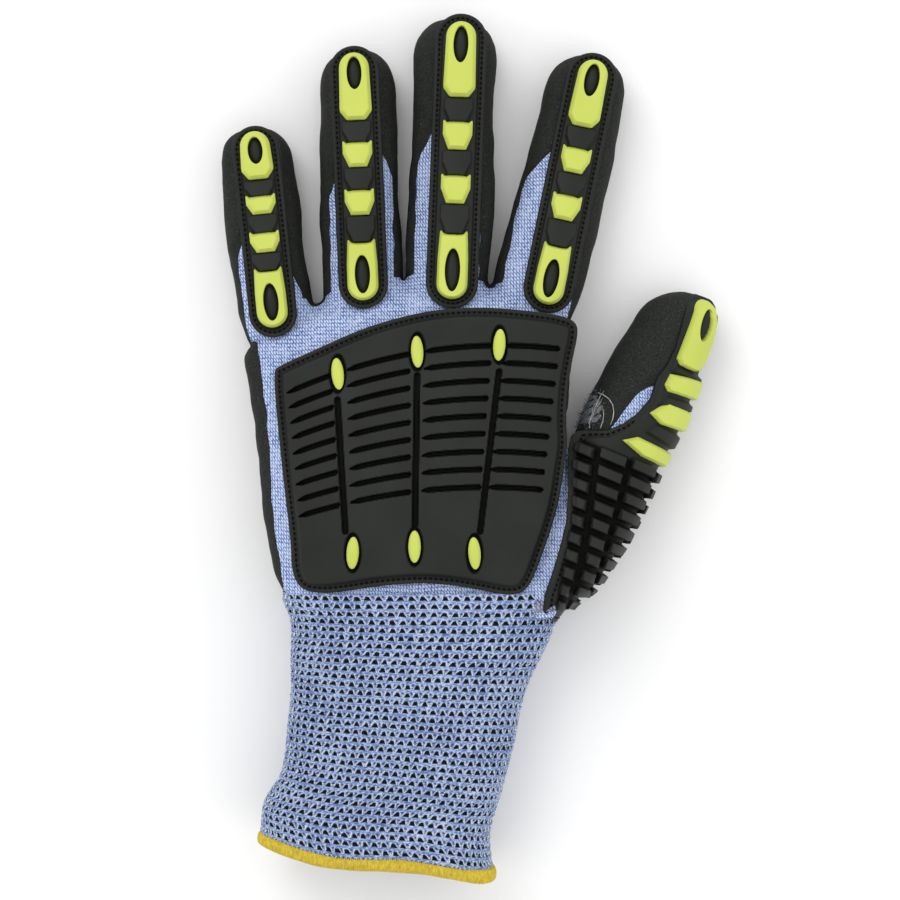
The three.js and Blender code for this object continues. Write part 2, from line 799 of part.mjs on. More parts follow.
// Cuts every triangle of an indexed mesh along one grid line, so that the mesh can bend there.
function cutAlong(positions, index, axis, value) {
  const made = new Map();
  const sideOf = (i) => {
    const distance = positions[3 * i + axis] - value;
    return Math.abs(distance) < mergeGap ? 0 : Math.sign(distance);
  };
  const crossing = (a, b) => {
    const [i, j] = a < b ? [a, b] : [b, a];
    const key = `${i},${j}`;
    if (!made.has(key)) {
      const share = (value - positions[3 * i + axis]) / (positions[3 * j + axis] - positions[3 * i + axis]);
      made.set(key, positions.length / 3);
      for (let k = 0; k < 3; k += 1) {
        positions.push(k === axis ? value : mix(positions[3 * i + k], positions[3 * j + k], share));
      }
    }
    return made.get(key);
  };
  const turnTo = (corners, found) => {
    let turned = corners;
    while (!found(turned.map(sideOf))) turned = [turned[1], turned[2], turned[0]];
    return turned;
  };
  const result = [];
  for (let t = 0; t < index.length; t += 3) {
    const corners = [index[t], index[t + 1], index[t + 2]];
    const sides = corners.map(sideOf);
    if (!(sides.includes(1) && sides.includes(-1))) {
      result.push(...corners);
    } else if (sides.includes(0)) {
      const [a, b, c] = turnTo(corners, (list) => list[0] === 0);
      const middle = crossing(b, c);
      result.push(a, b, middle, a, middle, c);
    } else {
      const [a, b, c] = turnTo(corners, (list) => list[1] === list[2]);
      const first = crossing(a, b);
      const second = crossing(a, c);
      result.push(a, first, second, first, b, c, first, c, second);
    }
  }
  return result;
}

// Bends a flat pattern of any outline onto a drape
function draped(flat, drape) {
  const mesh = flat.getMesh();
  const positions = Array.from(mesh.vertProperties);
  let index = Array.from(mesh.triVerts);
  for (const x of drape.xs) index = cutAlong(positions, index, 0, x);
  for (const y of drape.ys) index = cutAlong(positions, index, 1, y);
  const bent = [];
  for (let i = 0; i < positions.length; i += 3) {
    bent.push(...drape.carry(positions[i], positions[i + 1], positions[i + 2]).toArray());
  }
  const geometry = new THREE.BufferGeometry();
  geometry.setAttribute('position', new THREE.BufferAttribute(Float32Array.from(bent), 3));
  geometry.setIndex(index);
  return solidOf(geometry);
}

// Patterns for the guards

function ovalPoints(centreX, centreY, width, length, count) {
  return Array.from({ length: count }, (_, i) => {
    const angle = (2 * Math.PI * (i + 0.5)) / count;
    return new THREE.Vector2(
      centreX + (width / 2) * Math.cos(angle), centreY + (length / 2) * Math.sin(angle),
    );
  });
}

// An oval squared off by a power above 2
function squaredOval(centreX, centreY, width, length, power, count) {
  return ovalPoints(0, 0, 2, 2, count).map((point) => new THREE.Vector2(
    centreX + (width / 2) * Math.sign(point.x) * Math.abs(point.x) ** (2 / power),
    centreY + (length / 2) * Math.sign(point.y) * Math.abs(point.y) ** (2 / power),
  ));
}

function loopPiece(drape, start, end, low) {
  const middle = (start + end) / 2;
  const length = start - end;
  const outer = squaredOval(0, middle, loopWidth, length, loopSquareness, loopPoints);
  const inner = ovalPoints(0, middle, loopHoleShare * loopWidth, loopHoleShare * length, loopPoints);
  return ringBand(drape, outer, inner, low, low + loopHeight);
}

function scalePiece(drape, start, end, low) {
  const rows = scaleRows.map((row) => ({
    y: start - row.along * (start - end),
    left: -row.half * scaleWidth,
    right: row.half * scaleWidth,
  }));
  return ribbon(drape, rows.reverse(), 2, low, low + scaleHeight);
}

// Building

function buildKnit() {
  const outer = handSkin(0);
  const inner = handSkin(-knitWall);
  addPart('knit_palm', outer.subtract(inner).intersect(palmRegion(0)), knitFinish);
  for (const limb of limbs) {
    const sides = sidesOf(limb);
    const shell = limbSkin(limb, 0, sides).subtract(limbSkin(limb, -knitWall, sides));
    addPart(`knit_${limb.name}`, shell.intersect(limbRegion(limb)), knitFinish);
  }
}

function buildCoat() {
  const bare = windowSolid(0);
  const skin = handSkin(coatOuter).subtract(handSkin(layerGap));
  addPart('coat_palm', skin.intersect(palmRegion(seamGap)).subtract(bare), coatFinish);
  for (const limb of limbs) {
    const sides = sidesOf(limb);
    const shell = limbSkin(limb, coatOuter, sides).subtract(limbSkin(limb, layerGap, sides));
    addPart(`coat_${limb.name}`, shell.intersect(limbRegion(limb)).subtract(bare), coatFinish);
  }
}

function buildCuff() {
  const start = seamGap / cuffLength;
  const hemStart = 1 - hemWidth / cuffLength;
  const cuff = cuffTube(start, hemStart - seamGap / cuffLength, 0, -cuffWall);
  addPart('knit_cuff', cuff, cuffFinish);
  addPart('cuff_hem', cuffTube(hemStart, 1, hemProud, -cuffWall - hemProud), hemFinish);
}

function dressedBody() {
  const coated = handSkin(coatOuter + guardClearance).subtract(windowSolid(guardClearance));
  return join([coated, handSkin(guardClearance), cuffTube(0, 1, guardClearance, null)]);
}

function buildStrip(strip, dressed, dressedMesh) {
  const tip = new THREE.Vector3(strip.tip[0] * palmWidth, strip.tip[1] * palmLength, 0);
  const rootX = strip.rootAcross * palmWidth;
  const root = new THREE.Vector3(rootX, plateTopEdge(rootX) + strip.offPlate, 0);
  const along = tip.clone().sub(root).normalize();
  const length = tip.distanceTo(root);
  const width = stripWidth * strip.widthShare;
  const xs = steps(-width / 2, width / 2, stripColumns);
  const rows = stripEndRows.map((row) => ({
    y: length * (1 - row.along), left: -row.half * width, right: row.half * width,
  })).reverse();
  const drape = flatDrape(dressedMesh, root, along, xs, rows.map((row) => row.y), stripPasses);
  const at = (share) => length * (1 - share);
  const base = [ribbon(drape, rows, stripColumns, -guardSink, stripBase)];
  const seat = ribbon(drape, rows, stripColumns, -guardSink, stripBase + seamGap);
  for (const item of stripLayout) {
    const start = at(item.start);
    const end = at(item.end);
    if (item.kind === 'black_scale') {
      base.push(scalePiece(drape, start, end, stripBase - scaleSink));
    } else {
      const make = item.kind.endsWith('loop') ? loopPiece : scalePiece;
      const piece = mainBody(make(drape, start, end, stripBase).subtract(seat));
      addPart(`green_${strip.name}_${item.kind}`, piece, greenFinish);
    }
  }
  addPart(`guard_${strip.name}`, mainBody(join(base).subtract(dressed)), rubberFinish);
}

// The height of the plate's upper edge at a place across the palm
function plateTopEdge(x) {
  const share = (x - plateCentre[0] * palmWidth) / plateWidth;
  const upper = plateOutline.slice(0, plateTopRows);
  let i = 0;
  while (i + 2 < upper.length && upper[i + 1].across < share) i += 1;
  const t = Math.max(0, (share - upper[i].across) / (upper[i + 1].across - upper[i].across));
  return plateCentre[1] * palmLength + mix(upper[i].along, upper[i + 1].along, t) * plateLength;
}

function platePoints(rows, margin) {
  const width = plateWidth - 2 * margin;
  const length = plateLength - 2 * margin;
  return rows.map((row) => new THREE.Vector2(row.across * width, row.along * length)).reverse();
}

function groovePattern(column, row) {
  const share = row / (grooveRows - 1);
  const left = mix(column.left, column.lastLeft, share);
  const right = mix(column.right, column.lastRight, share);
  const height = mix(grooveTop, grooveBottom, share);
  const bow = mix(grooveBow.first, grooveBow.last, share);
  const upper = [];
  const lower = [];
  for (const x of steps(left, right, grooveSteps)) {
    const y = height - bow * (x - grooveCrown) ** 2;
    upper.push(new THREE.Vector2(x * plateWidth, y * plateLength + grooveWidth / 2));
    lower.push(new THREE.Vector2(x * plateWidth, y * plateLength - grooveWidth / 2));
  }
  const top = plateBase + plateField;
  return prism([...lower, ...upper.reverse()], top - grooveDepth, top + cutRise);
}

function channelPattern(channel) {
  const half = channelWidth / 2;
  const points = [
    new THREE.Vector2(channel.foot * plateWidth - half, channel.bottom * plateLength),
    new THREE.Vector2(channel.foot * plateWidth + half, channel.bottom * plateLength),
    new THREE.Vector2(channel.across * plateWidth + half, channel.top * plateLength),
    new THREE.Vector2(channel.across * plateWidth - half, channel.top * plateLength),
  ];
  const top = plateBase + plateField;
  return prism(points, top - channelDepth, top + cutRise);
}

function buildPlate(dressed, dressedMesh) {
  const origin = new THREE.Vector3(plateCentre[0] * palmWidth, plateCentre[1] * palmLength, 0);
  const xs = plateFolds.map((share) => share * plateWidth);
  const ys = steps(-plateLength / 2, plateLength / 2, plateFoldRows);
  const drape = flatDrape(dressedMesh, origin, new THREE.Vector3(0, 1, 0), xs, ys, 0);
  const top = plateBase + plateField;
  let pattern = prism(platePoints(plateOutline, 0), -guardSink, plateBase);
  pattern = pattern.add(prism(platePoints(plateOutline, plateRim), 0, top));
  for (const column of grooveColumns) {
    for (let row = 0; row < grooveRows; row += 1) pattern = pattern.subtract(groovePattern(column, row));
  }
  for (const channel of plateChannels) pattern = pattern.subtract(channelPattern(channel));
  plateBeads.forEach((bead, i) => {
    const x = bead.across * plateWidth;
    const y = bead.along * plateLength;
    const seat = plateBase;
    const room = 2 * seamGap;
    const well = ovalPoints(x, y, beadWidth + room, beadLength + room, beadPoints);
    pattern = pattern.subtract(prism(well, seat, top + cutRise));
    const body = prism(ovalPoints(x, y, beadWidth, beadLength, beadPoints), seat + seamGap, top + beadProud);
    addPart(`plate_bead_${i + 1}`, draped(body, drape), greenFinish);
  });
  addPart('back_plate', mainBody(draped(pattern, drape).subtract(dressed)), rubberFinish);
}

function thumbEdge(side, share) {
  const rows = thumbGuardRows;
  let r = 0;
  while (r + 2 < rows.length && rows[r + 1].along < share) r += 1;
  const t = (share - rows[r].along) / (rows[r + 1].along - rows[r].along);
  return mix(rows[r][side], rows[r + 1][side], t);
}

function anglePatch(drape, left, right, start, end, columns, low, high) {
  const rows = [{ y: start, left, right }, { y: end, left, right }];
  return ribbon(drape, rows, columns, low, high);
}

function buildThumbGuard(dressed, dressedMesh) {
  const thumb = limbs[limbs.length - 1];
  const rows = thumbGuardRows.map((row) => ({
    y: row.along * thumb.length, left: row.left, right: row.right,
  }));
  const xs = steps(padAngles.first, padAngles.last, padAngles.count);
  const drape = roundDrape(dressedMesh, thumb, xs, rows.map((row) => row.y), padPasses);
  const low = -guardSink;
  const high = padBase + blockHeight;
  const base = [ribbon(drape, rows, padColumns, -guardSink, padBase)];
  const seat = ribbon(drape, rows, padColumns, -guardSink, padBase + seamGap);
  for (let y = thumbBlocks.first * thumb.length; y < thumbBlocks.last * thumb.length; y += blockPitch) {
    const shares = [y / thumb.length, (y + blockPitch - blockGap) / thumb.length];
    const mostLeft = Math.min(...shares.map((share) => thumbEdge('left', share))) - blockMargin;
    const mostRight = Math.max(...shares.map((share) => thumbEdge('right', share))) + blockMargin;
    base.push(anglePatch(drape, mostLeft, mostRight, y, y + blockPitch - blockGap, 4, low, high));
  }
  let greens = 0;
  for (const band of thumbBands) {
    const share = (band.start - thumbBands[0].start) / (thumbLoop.start - thumbBands[0].start);
    const edge = Math.min(thumbEdge('left', band.start), thumbEdge('left', band.end)) - blockMargin;
    const left = Math.min(mix(thumbBandLeft.first, thumbBandLeft.last, share), edge);
    const [start, end] = [band.start * thumb.length, band.end * thumb.length];
    if (band.green) {
      greens += 1;
      const piece = anglePatch(drape, left, thumbBandRight, start, end, 3, low, high);
      addPart(`green_thumb_band_${greens}`, mainBody(piece.subtract(seat)), greenFinish);
    } else {
      base.push(anglePatch(drape, left, thumbBandRight, start, end, 3, low, high));
    }
  }
  const loop = thumbLoopPiece(drape, thumb, padBase);
  addPart('green_thumb_tip_loop', mainBody(loop.subtract(seat)), greenFinish);
  addPart('thumb_guard', mainBody(join(base).subtract(dressed)), rubberFinish);
}

function thumbLoopPiece(drape, thumb, low) {
  const [start, end] = [thumbLoop.start * thumb.length, thumbLoop.end * thumb.length];
  const middle = (start + end) / 2;
  const centre = (thumbBandLeft.last + thumbBandRight) / 2;
  const width = thumbBandLeft.last - thumbBandRight;
  const outer = squaredOval(centre, middle, width, end - start, loopSquareness, loopPoints);
  const inner = ovalPoints(centre, middle, loopHoleShare * width, loopHoleShare * (end - start), loopPoints);
  return ringBand(drape, outer.reverse(), inner.reverse(), low, low + blockHeight);
}

function buildPatch() {
  const thumb = limbs[limbs.length - 1];
  const { along, across, root } = limbFrame(thumb);
  const shell = handSkin(coatOuter + seamGap + patchWall).subtract(handSkin(coatOuter + seamGap));
  const ball = new THREE.SphereGeometry(1, ballSides.round, ballSides.high);
  ball.scale(patchWidth / 2, patchLength / 2, patchWidth / 2);
  const basis = new THREE.Matrix4().makeBasis(across, along, new THREE.Vector3(0, 0, 1));
  const place = root.clone()
    .addScaledVector(along, patchAlong * thumb.length)
    .addScaledVector(across, patchAcross * thumb.width);
  basis.setPosition(place.setZ(patchHigh * thumb.height));
  ball.applyMatrix4(basis);
  addPart('thumb_crotch_patch', mainBody(shell.intersect(solidOf(ball))), patchFinish);
}

buildKnit();
buildCoat();
buildCuff();
buildPatch();
const dressed = dressedBody();
const dressedMesh = new THREE.Mesh(
  geometryOf(dressed), new THREE.MeshStandardMaterial({ side: THREE.DoubleSide }),
);
for (const strip of strips) buildStrip(strip, dressed, dressedMesh);
buildPlate(dressed, dressedMesh);
buildThumbGuard(dressed, dressedMesh);

// The origin stands at the middle of the glove's foot.
const bounds = new THREE.Box3().setFromObject(glove);
const middle = bounds.getCenter(new THREE.Vector3());
glove.position.set(-middle.x, -middle.y, -bounds.min.z);

export default group;
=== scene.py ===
import math

import bpy
import numpy as np
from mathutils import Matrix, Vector
from mathutils.bvhtree import BVHTree


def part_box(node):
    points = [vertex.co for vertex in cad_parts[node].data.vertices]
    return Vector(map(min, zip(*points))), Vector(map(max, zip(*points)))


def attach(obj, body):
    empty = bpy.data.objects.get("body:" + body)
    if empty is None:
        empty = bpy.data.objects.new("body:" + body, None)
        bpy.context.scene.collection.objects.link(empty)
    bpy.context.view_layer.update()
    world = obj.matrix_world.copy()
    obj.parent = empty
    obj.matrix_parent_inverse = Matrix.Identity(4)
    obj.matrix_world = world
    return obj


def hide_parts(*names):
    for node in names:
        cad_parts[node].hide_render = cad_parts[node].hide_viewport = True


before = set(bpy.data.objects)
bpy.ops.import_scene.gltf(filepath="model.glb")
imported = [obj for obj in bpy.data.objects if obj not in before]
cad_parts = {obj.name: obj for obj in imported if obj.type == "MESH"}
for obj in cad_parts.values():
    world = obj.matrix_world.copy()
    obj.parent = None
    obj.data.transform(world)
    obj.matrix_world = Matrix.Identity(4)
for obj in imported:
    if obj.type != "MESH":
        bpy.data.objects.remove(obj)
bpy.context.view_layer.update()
rng = np.random.default_rng(11)

# The hand's own coordinates are in millimetres: x across the palm, y from the wrist, z up.
plateLow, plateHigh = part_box("back_plate")
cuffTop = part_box("knit_cuff")[1].y
plateMiddle = np.array([3.94, 45.88])
shift = np.array([
    500 * (plateLow.x + plateHigh.x) - plateMiddle[0], 1000 * cuffTop + 0.3, 0.0,
])

palm = {
    "width": 96.0, "length": 97.0, "high": 38.0, "power": 2.7, "arch": 10.0, "archCentre": 0.06, "archSpan": 0.44,
}
skin = {
    "base": 1.1, "lift": 0.3, "sag": 1.4, "capPower": 2.3, "tipRise": 0.32, "power": 2.4,
    "voxel": 1.1, "liningVoxel": 2.0, "wall": 1.3, "limbSides": 48, "palmSides": 96,
}


# Small helpers


def pchip(xs, ys, x):      # smooth line through points, no overshoot
    xs, ys, x = np.asarray(xs, float), np.asarray(ys, float), np.asarray(x, float)
    step = np.diff(xs)
    slope = np.diff(ys) / step
    tangent = np.zeros(len(xs))
    for i in range(1, len(xs) - 1):
        if slope[i - 1] * slope[i] > 0:
            a, b = 2 * step[i] + step[i - 1], step[i] + 2 * step[i - 1]
            tangent[i] = (a + b) / (a / slope[i - 1] + b / slope[i])
    tangent[0], tangent[-1] = slope[0], slope[-1]
    i = np.clip(np.searchsorted(xs, x) - 1, 0, len(xs) - 2)
    t = np.clip((x - xs[i]) / step[i], 0, 1)
    h00, h10 = 2 * t**3 - 3 * t**2 + 1, t**3 - 2 * t**2 + t
    h01, h11 = -2 * t**3 + 3 * t**2, t**3 - t**2
    start = h00 * ys[i] + h10 * step[i] * tangent[i]
    return start + h01 * ys[i + 1] + h11 * step[i] * tangent[i + 1]


def smoothStep(low, high, x):
    t = np.clip((x - low) / (high - low), 0, 1)
    return t * t * (3 - 2 * t)


def rounded(distance, radius):      # how far a rounded edge lies under the flat
    d = np.clip(distance, 0, radius)
    return radius - np.sqrt(np.maximum(radius**2 - (radius - d) ** 2, 0))


def softNoise(x, y, z, size, seed=0):      # a few waves, about -1 to 1
    total = np.zeros(np.shape(x))
    source = np.random.default_rng(seed)
    for _ in range(7):
        direction = source.normal(size=3)
        direction /= np.linalg.norm(direction)
        length = size * source.uniform(0.7, 1.6)
        way = direction[0] * x + direction[1] * y + direction[2] * z
        total += np.sin(2 * np.pi * way / length + source.uniform(0, 6.3))
    return total / 3.5


def chaikin(points, times=2):
    points = np.asarray(points, float)
    for _ in range(times):
        following = np.roll(points, -1, axis=0)
        near, far = 0.75 * points + 0.25 * following, 0.25 * points + 0.75 * following
        points = np.stack([near, far], axis=1).reshape(-1, 2)
    return points


def polygonDistance(x, y, polygon):      # above zero inside the outline
    polygon = np.asarray(polygon, float)
    nearest = np.full(np.shape(x), 1e9)
    inside = np.zeros(np.shape(x), bool)
    for (ax, ay), (bx, by) in zip(polygon, np.roll(polygon, -1, axis=0)):
        ex, ey = bx - ax, by - ay
        length = ex * ex + ey * ey
        if length < 1e-12:
            continue
        t = np.clip(((x - ax) * ex + (y - ay) * ey) / length, 0, 1)
        nearest = np.minimum(nearest, np.hypot(x - ax - t * ex, y - ay - t * ey))
        if ay != by:
            inside ^= ((ay > y) != (by > y)) & (x < ex * (y - ay) / ey + ax)
    return np.where(inside, nearest, -nearest)


def outlinePath(polygon, inset, pitch):      # even places on a line inside an outline
    polygon = np.asarray(polygon, float)
    following = np.roll(polygon, -1, axis=0)
    if np.sum(polygon[:, 0] * following[:, 1] - polygon[:, 1] * following[:, 0]) < 0:
        polygon = polygon[::-1]
    side = np.roll(polygon, -1, axis=0) - np.roll(polygon, 1, axis=0)
    side /= np.maximum(np.linalg.norm(side, axis=1, keepdims=True), 1e-9)
    line = polygon + inset * np.stack([-side[:, 1], side[:, 0]], axis=1)
    line = np.vstack([line, line[:1]])
    reach = np.concatenate([[0], np.cumsum(np.linalg.norm(np.diff(line, axis=0), axis=1))])
    count = max(3, int(reach[-1] / pitch))
    at = (np.arange(count) + 0.5) * reach[-1] / count
    places = np.stack([np.interp(at, reach, line[:, k]) for k in (0, 1)], axis=1)
    ahead = np.stack([np.interp((at + 0.3) % reach[-1], reach, line[:, k]) for k in (0, 1)], axis=1)
    direction = ahead - places
    return places, direction / np.maximum(np.linalg.norm(direction, axis=1, keepdims=True), 1e-9)


def clipMesh(points, triangles, field, keepAbove=True):      # keeps where the field is above zero
    value = field if keepAbove else -field
    inside = value > 0
    count = inside[triangles].sum(axis=1)
    whole = triangles[count == 3]
    made, extraPoints, extraValues, extra = {}, [], [], []
    base = len(points)

    def crossing(a, b):
        key = (a, b) if a < b else (b, a)
        if key not in made:
            t = value[a] / (value[a] - value[b])
            made[key] = base + len(extraPoints)
            extraPoints.append(points[a] + t * (points[b] - points[a]))
            extraValues.append(0.0)
        return made[key]

    for triangle in triangles[(count > 0) & (count < 3)]:
        a, b, c = (int(i) for i in triangle)
        while inside[a] == inside[b] or inside[a] == inside[c]:
            a, b, c = b, c, a
        ab, ac = crossing(a, b), crossing(a, c)
        if inside[a]:
            extra.append((a, ab, ac))
        else:
            extra.append((ab, b, c))
            extra.append((ab, c, ac))
    allPoints = np.vstack([points] + ([np.array(extraPoints)] if extraPoints else []))
    allValues = np.concatenate([value, np.array(extraValues)])
    allTriangles = np.vstack([whole] + ([np.array(extra)] if extra else [])).astype(int)
    used = np.zeros(len(allPoints), bool)
    used[allTriangles.ravel()] = True
    number = np.cumsum(used) - 1
    return allPoints[used], number[allTriangles], allValues[used]


def borderEdges(triangles):      # edges of only one triangle
    edges = np.vstack([triangles[:, [0, 1]], triangles[:, [1, 2]], triangles[:, [2, 0]]])
    low, high = edges.min(axis=1), edges.max(axis=1)
    key = low.astype(np.int64) * (int(edges.max()) + 1) + high
    _, first, counts = np.unique(key, return_index=True, return_counts=True)
    return edges[first[counts == 1]]


def vertexNormals(points, triangles):
    a, b, c = (points[triangles[:, k]] for k in range(3))
    face = np.cross(b - a, c - a)
    normals = np.zeros_like(points)
    for k in range(3):
        np.add.at(normals, triangles[:, k], face)
    return normals / np.maximum(np.linalg.norm(normals, axis=1, keepdims=True), 1e-12)


def splitQuads(quads):
    return np.vstack([quads[:, [0, 1, 2]], quads[:, [0, 2, 3]]])


def gridQuads(rows, columns):
    index = np.arange(rows * columns).reshape(rows, columns)
    return np.stack([index[:-1, :-1], index[:-1, 1:], index[1:, 1:], index[1:, :-1]], axis=-1).reshape(-1, 4)


def makeObject(name, points, faces, material, sharp=None, uv=None, nodes=()):
    mesh = bpy.data.meshes.new(name)
    place = (np.asarray(points, float) + shift) / 1000
    mesh.from_pydata(place.tolist(), [], [tuple(int(i) for i in face) for face in faces])
    mesh.validate()
    mesh.update()
    mesh.shade_smooth()
    if sharp is not None:
        mesh.set_sharp_from_angle(angle=math.radians(sharp))
    if uv is not None:
        layer = mesh.uv_layers.new(name="weave")
        corner = np.zeros(len(mesh.loops), int)
        mesh.loops.foreach_get("vertex_index", corner)
        layer.data.foreach_set("uv", np.asarray(uv, np.float32)[corner].ravel())
    mesh.materials.append(material)
    piece = bpy.data.objects.new(name, mesh)
    bpy.context.scene.collection.objects.link(piece)
    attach(piece, "root")
    if nodes:
        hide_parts(*nodes)
    return piece


# Materials


class Shader:      # short hand for a node material
    def __init__(self, name):
        self.material = bpy.data.materials.new(name)
        self.material.use_nodes = True
        self.tree = self.material.node_tree
        self.surface = self.tree.nodes["Principled BSDF"]

    def node(self, kind, **settings):
        made = self.tree.nodes.new(kind)
        for key, value in settings.items():
            setattr(made, key, value)
        return made

    def put(self, socket, value):
        if isinstance(value, bpy.types.NodeSocket):
            self.tree.links.new(value, socket)
        elif value is not None:
            socket.default_value = value

    def math(self, operation, a, b=None, c=None):
        made = self.node("ShaderNodeMath", operation=operation)
        for socket, value in zip(made.inputs, (a, b, c)):
            self.put(socket, value)
        return made.outputs[0]

    def plus(self, a, b):
        return self.math("ADD", a, b)

    def minus(self, a, b):
        return self.math("SUBTRACT", a, b)

    def times(self, a, b):
        return self.math("MULTIPLY", a, b)

    def finish(self, name, value):
        self.put(self.surface.inputs[name], value)

    def noise(self, vector, scale, detail=2.0, rough=0.5):
        made = self.node("ShaderNodeTexNoise")
        self.put(made.inputs["Vector"], vector)
        made.inputs["Scale"].default_value = scale
        made.inputs["Detail"].default_value = detail
        made.inputs["Roughness"].default_value = rough
        return made.outputs["Fac"]

    def scaled(self, vector, scale):
        made = self.node("ShaderNodeMapping")
        self.put(made.inputs["Vector"], vector)
        made.inputs["Scale"].default_value = scale
        return made.outputs["Vector"]

    def ramp(self, value, stops):
        made = self.node("ShaderNodeValToRGB")
        self.put(made.inputs["Fac"], value)
        band = made.color_ramp
        while len(band.elements) < len(stops):
            band.elements.new(0.5)
        for element, (place, colour) in zip(band.elements, stops):
            element.position = place
            element.color = colour
        return made.outputs["Color"]

    def mixed(self, share, first, second):
        made = self.node("ShaderNodeMix", data_type="RGBA")
        self.put(made.inputs["Factor"], share)
        self.put(made.inputs[6], first)
        self.put(made.inputs[7], second)
        return made.outputs[2]

    def window(self, value, low, high):
        made = self.node("ShaderNodeMapRange", interpolation_type="SMOOTHSTEP")
        self.put(made.inputs["Value"], value)
        made.inputs["From Min"].default_value = low
        made.inputs["From Max"].default_value = high
        return made.outputs["Result"]

    def fade(self, value, low, high):      # one under low, zero over high
        return self.window(self.times(value, -1.0), -high, -low)

    def bump(self, height, distance, strength=1.0, below=None):
        made = self.node("ShaderNodeBump")
        self.put(made.inputs["Height"], height)
        made.inputs["Distance"].default_value = distance
        made.inputs["Strength"].default_value = strength
        if below is not None:
            self.put(made.inputs["Normal"], below)
        return made.outputs["Normal"]

    def place(self):
        return self.node("ShaderNodeTexCoord").outputs["Object"]


def shade(red, green, blue):      # a colour as seen on screen, 0 to 255
    def linear(value):
        value /= 255
        return value / 12.92 if value <= 0.04045 else ((value + 0.055) / 1.055) ** 2.4
    return (linear(red), linear(green), linear(blue), 1.0)


def toned(colour, share, lift=0.0):
    return tuple(min(1.0, v * share + lift) for v in colour[:3]) + (1.0,)


def knitMaterial(name, dark, light, stitchX, stitchY):      # rows of small V stitches in mixed yarn, with painted shade between the loops
    s = Shader(name)
    place = s.place()
    parts = s.node("ShaderNodeSeparateXYZ")
    s.put(parts.inputs[0], place)
    bend = s.times(s.noise(place, 60, 1), 0.0016)
    across = s.math("DIVIDE", s.plus(parts.outputs["X"], bend), stitchX)
    along = s.math("DIVIDE", s.plus(parts.outputs["Y"], bend), stitchY)
    lean = s.math("FRACT", across)
    row = s.math("FRACT", s.plus(along, s.times(lean, 0.75)))
    loop = s.math("SINE", s.times(row, math.pi))
    edge = s.times(s.window(lean, 0.0, 0.22), s.window(s.minus(1.0, lean), 0.0, 0.22))
    height = s.times(loop, edge)
    yarn = s.noise(s.scaled(place, (1.0, 2.0, 1.0)), 800, 2)
    cloud = s.noise(place, 140, 2)
    # painted shade: the loop height lightens the stitch tops and darkens the gaps between them, on top of the yarn's
    # own mixed tone
    tone = s.plus(s.times(height, 0.85), s.times(s.minus(yarn, 0.5), 1.5))
    tone = s.plus(tone, s.times(s.minus(cloud, 0.5), 0.5))
    middle = tuple(0.5 * (a + b) for a, b in zip(dark, light))
    s.finish("Base Color", s.ramp(s.plus(tone, 0.1), [(0.05, dark), (0.45, middle), (0.85, light)]))
    s.finish("Roughness", 0.92)
    s.finish("Specular IOR Level", 0.2)
    s.finish("Normal", s.bump(s.plus(height, s.times(yarn, 0.4)), 0.0003, 0.6))
    return s.material


def cuffMaterial(name, colours):      # the weave map counts columns and rows
    s = Shader(name)
    uv = s.node("ShaderNodeUVMap", uv_map="weave")
    parts = s.node("ShaderNodeSeparateXYZ")
    s.put(parts.inputs[0], uv.outputs["UV"])
    place = s.place()
    wobble = s.times(s.minus(s.noise(place, 420, 1), 0.5), 0.34)
    x = s.math("FRACT", s.plus(parts.outputs["X"], wobble))
    y = s.math("FRACT", s.plus(parts.outputs["Y"], s.times(wobble, 0.6)))
    off = s.math("ABSOLUTE", s.minus(x, 0.5))
    width = s.minus(0.42, s.times(y, 0.38))
    away = s.minus(off, width)
    floorRow = s.times(s.window(y, 0.12, 0.24), s.fade(y, 0.6, 0.74))
    # painted shade: the pits and the small dots beside them are coloured near-black
    hole = s.times(s.fade(away, -0.07, 0.03), floorRow)
    strand = s.times(s.window(away, -0.02, 0.05), s.fade(away, 0.08, 0.16))
    strand = s.times(strand, s.times(s.window(y, 0.05, 0.2), s.fade(y, 0.8, 0.92)))
    dot = s.times(s.window(off, 0.37, 0.46), s.times(s.window(y, 0.5, 0.62), s.fade(y, 0.72, 0.84)))
    yarn = s.noise(s.scaled(place, (1.0, 2.2, 1.0)), 1000, 2)
    cloud = s.noise(place, 90, 2)
    base = s.ramp(s.plus(s.times(s.minus(yarn, 0.5), 1.8), s.plus(0.25, s.times(cloud, 0.5))),
                  [(0.1, colours["barDark"]), (0.5, colours["bar"]), (0.9, colours["barLight"])])
    body = s.mixed(s.times(strand, s.window(yarn, 0.25, 0.5)), base, colours["strand"])
    dark = s.math("MAXIMUM", hole, s.times(dot, 0.8))
    s.finish("Base Color", s.mixed(dark, body, colours["hole"]))
    s.finish("Roughness", 0.93)
    s.finish("Specular IOR Level", 0.2)
    height = s.plus(s.minus(s.times(strand, 0.6), dark), s.times(yarn, 0.35))
    s.finish("Normal", s.bump(height, 0.0005, 0.7))
    return s.material


def grainMaterial(name, base, speck, grain, roughness, distance):      # sandy dip with a few paler specks
    s = Shader(name)
    place = s.place()
    fine = s.noise(place, 1 / grain, 3, 0.65)
    coarse = s.noise(place, 0.25 / grain, 2)
    specks = s.window(s.noise(place, 1.1 / grain, 2, 0.7), 0.6, 0.72)
    colour = s.mixed(s.times(specks, 0.9), base, speck)
    sandy = s.mixed(s.window(fine, 0.38, 0.62), toned(base, 0.55), toned(base, 1.5))
    worn = s.mixed(s.times(s.window(coarse, 0.3, 0.7), 0.5), sandy, colour)
    s.finish("Base Color", worn)
    s.finish("Roughness", s.plus(roughness, s.times(fine, 0.15)))
    s.finish("Specular IOR Level", 0.14)
    s.finish("Normal", s.bump(s.plus(fine, s.times(coarse, 0.6)), distance, 0.9))
    return s.material


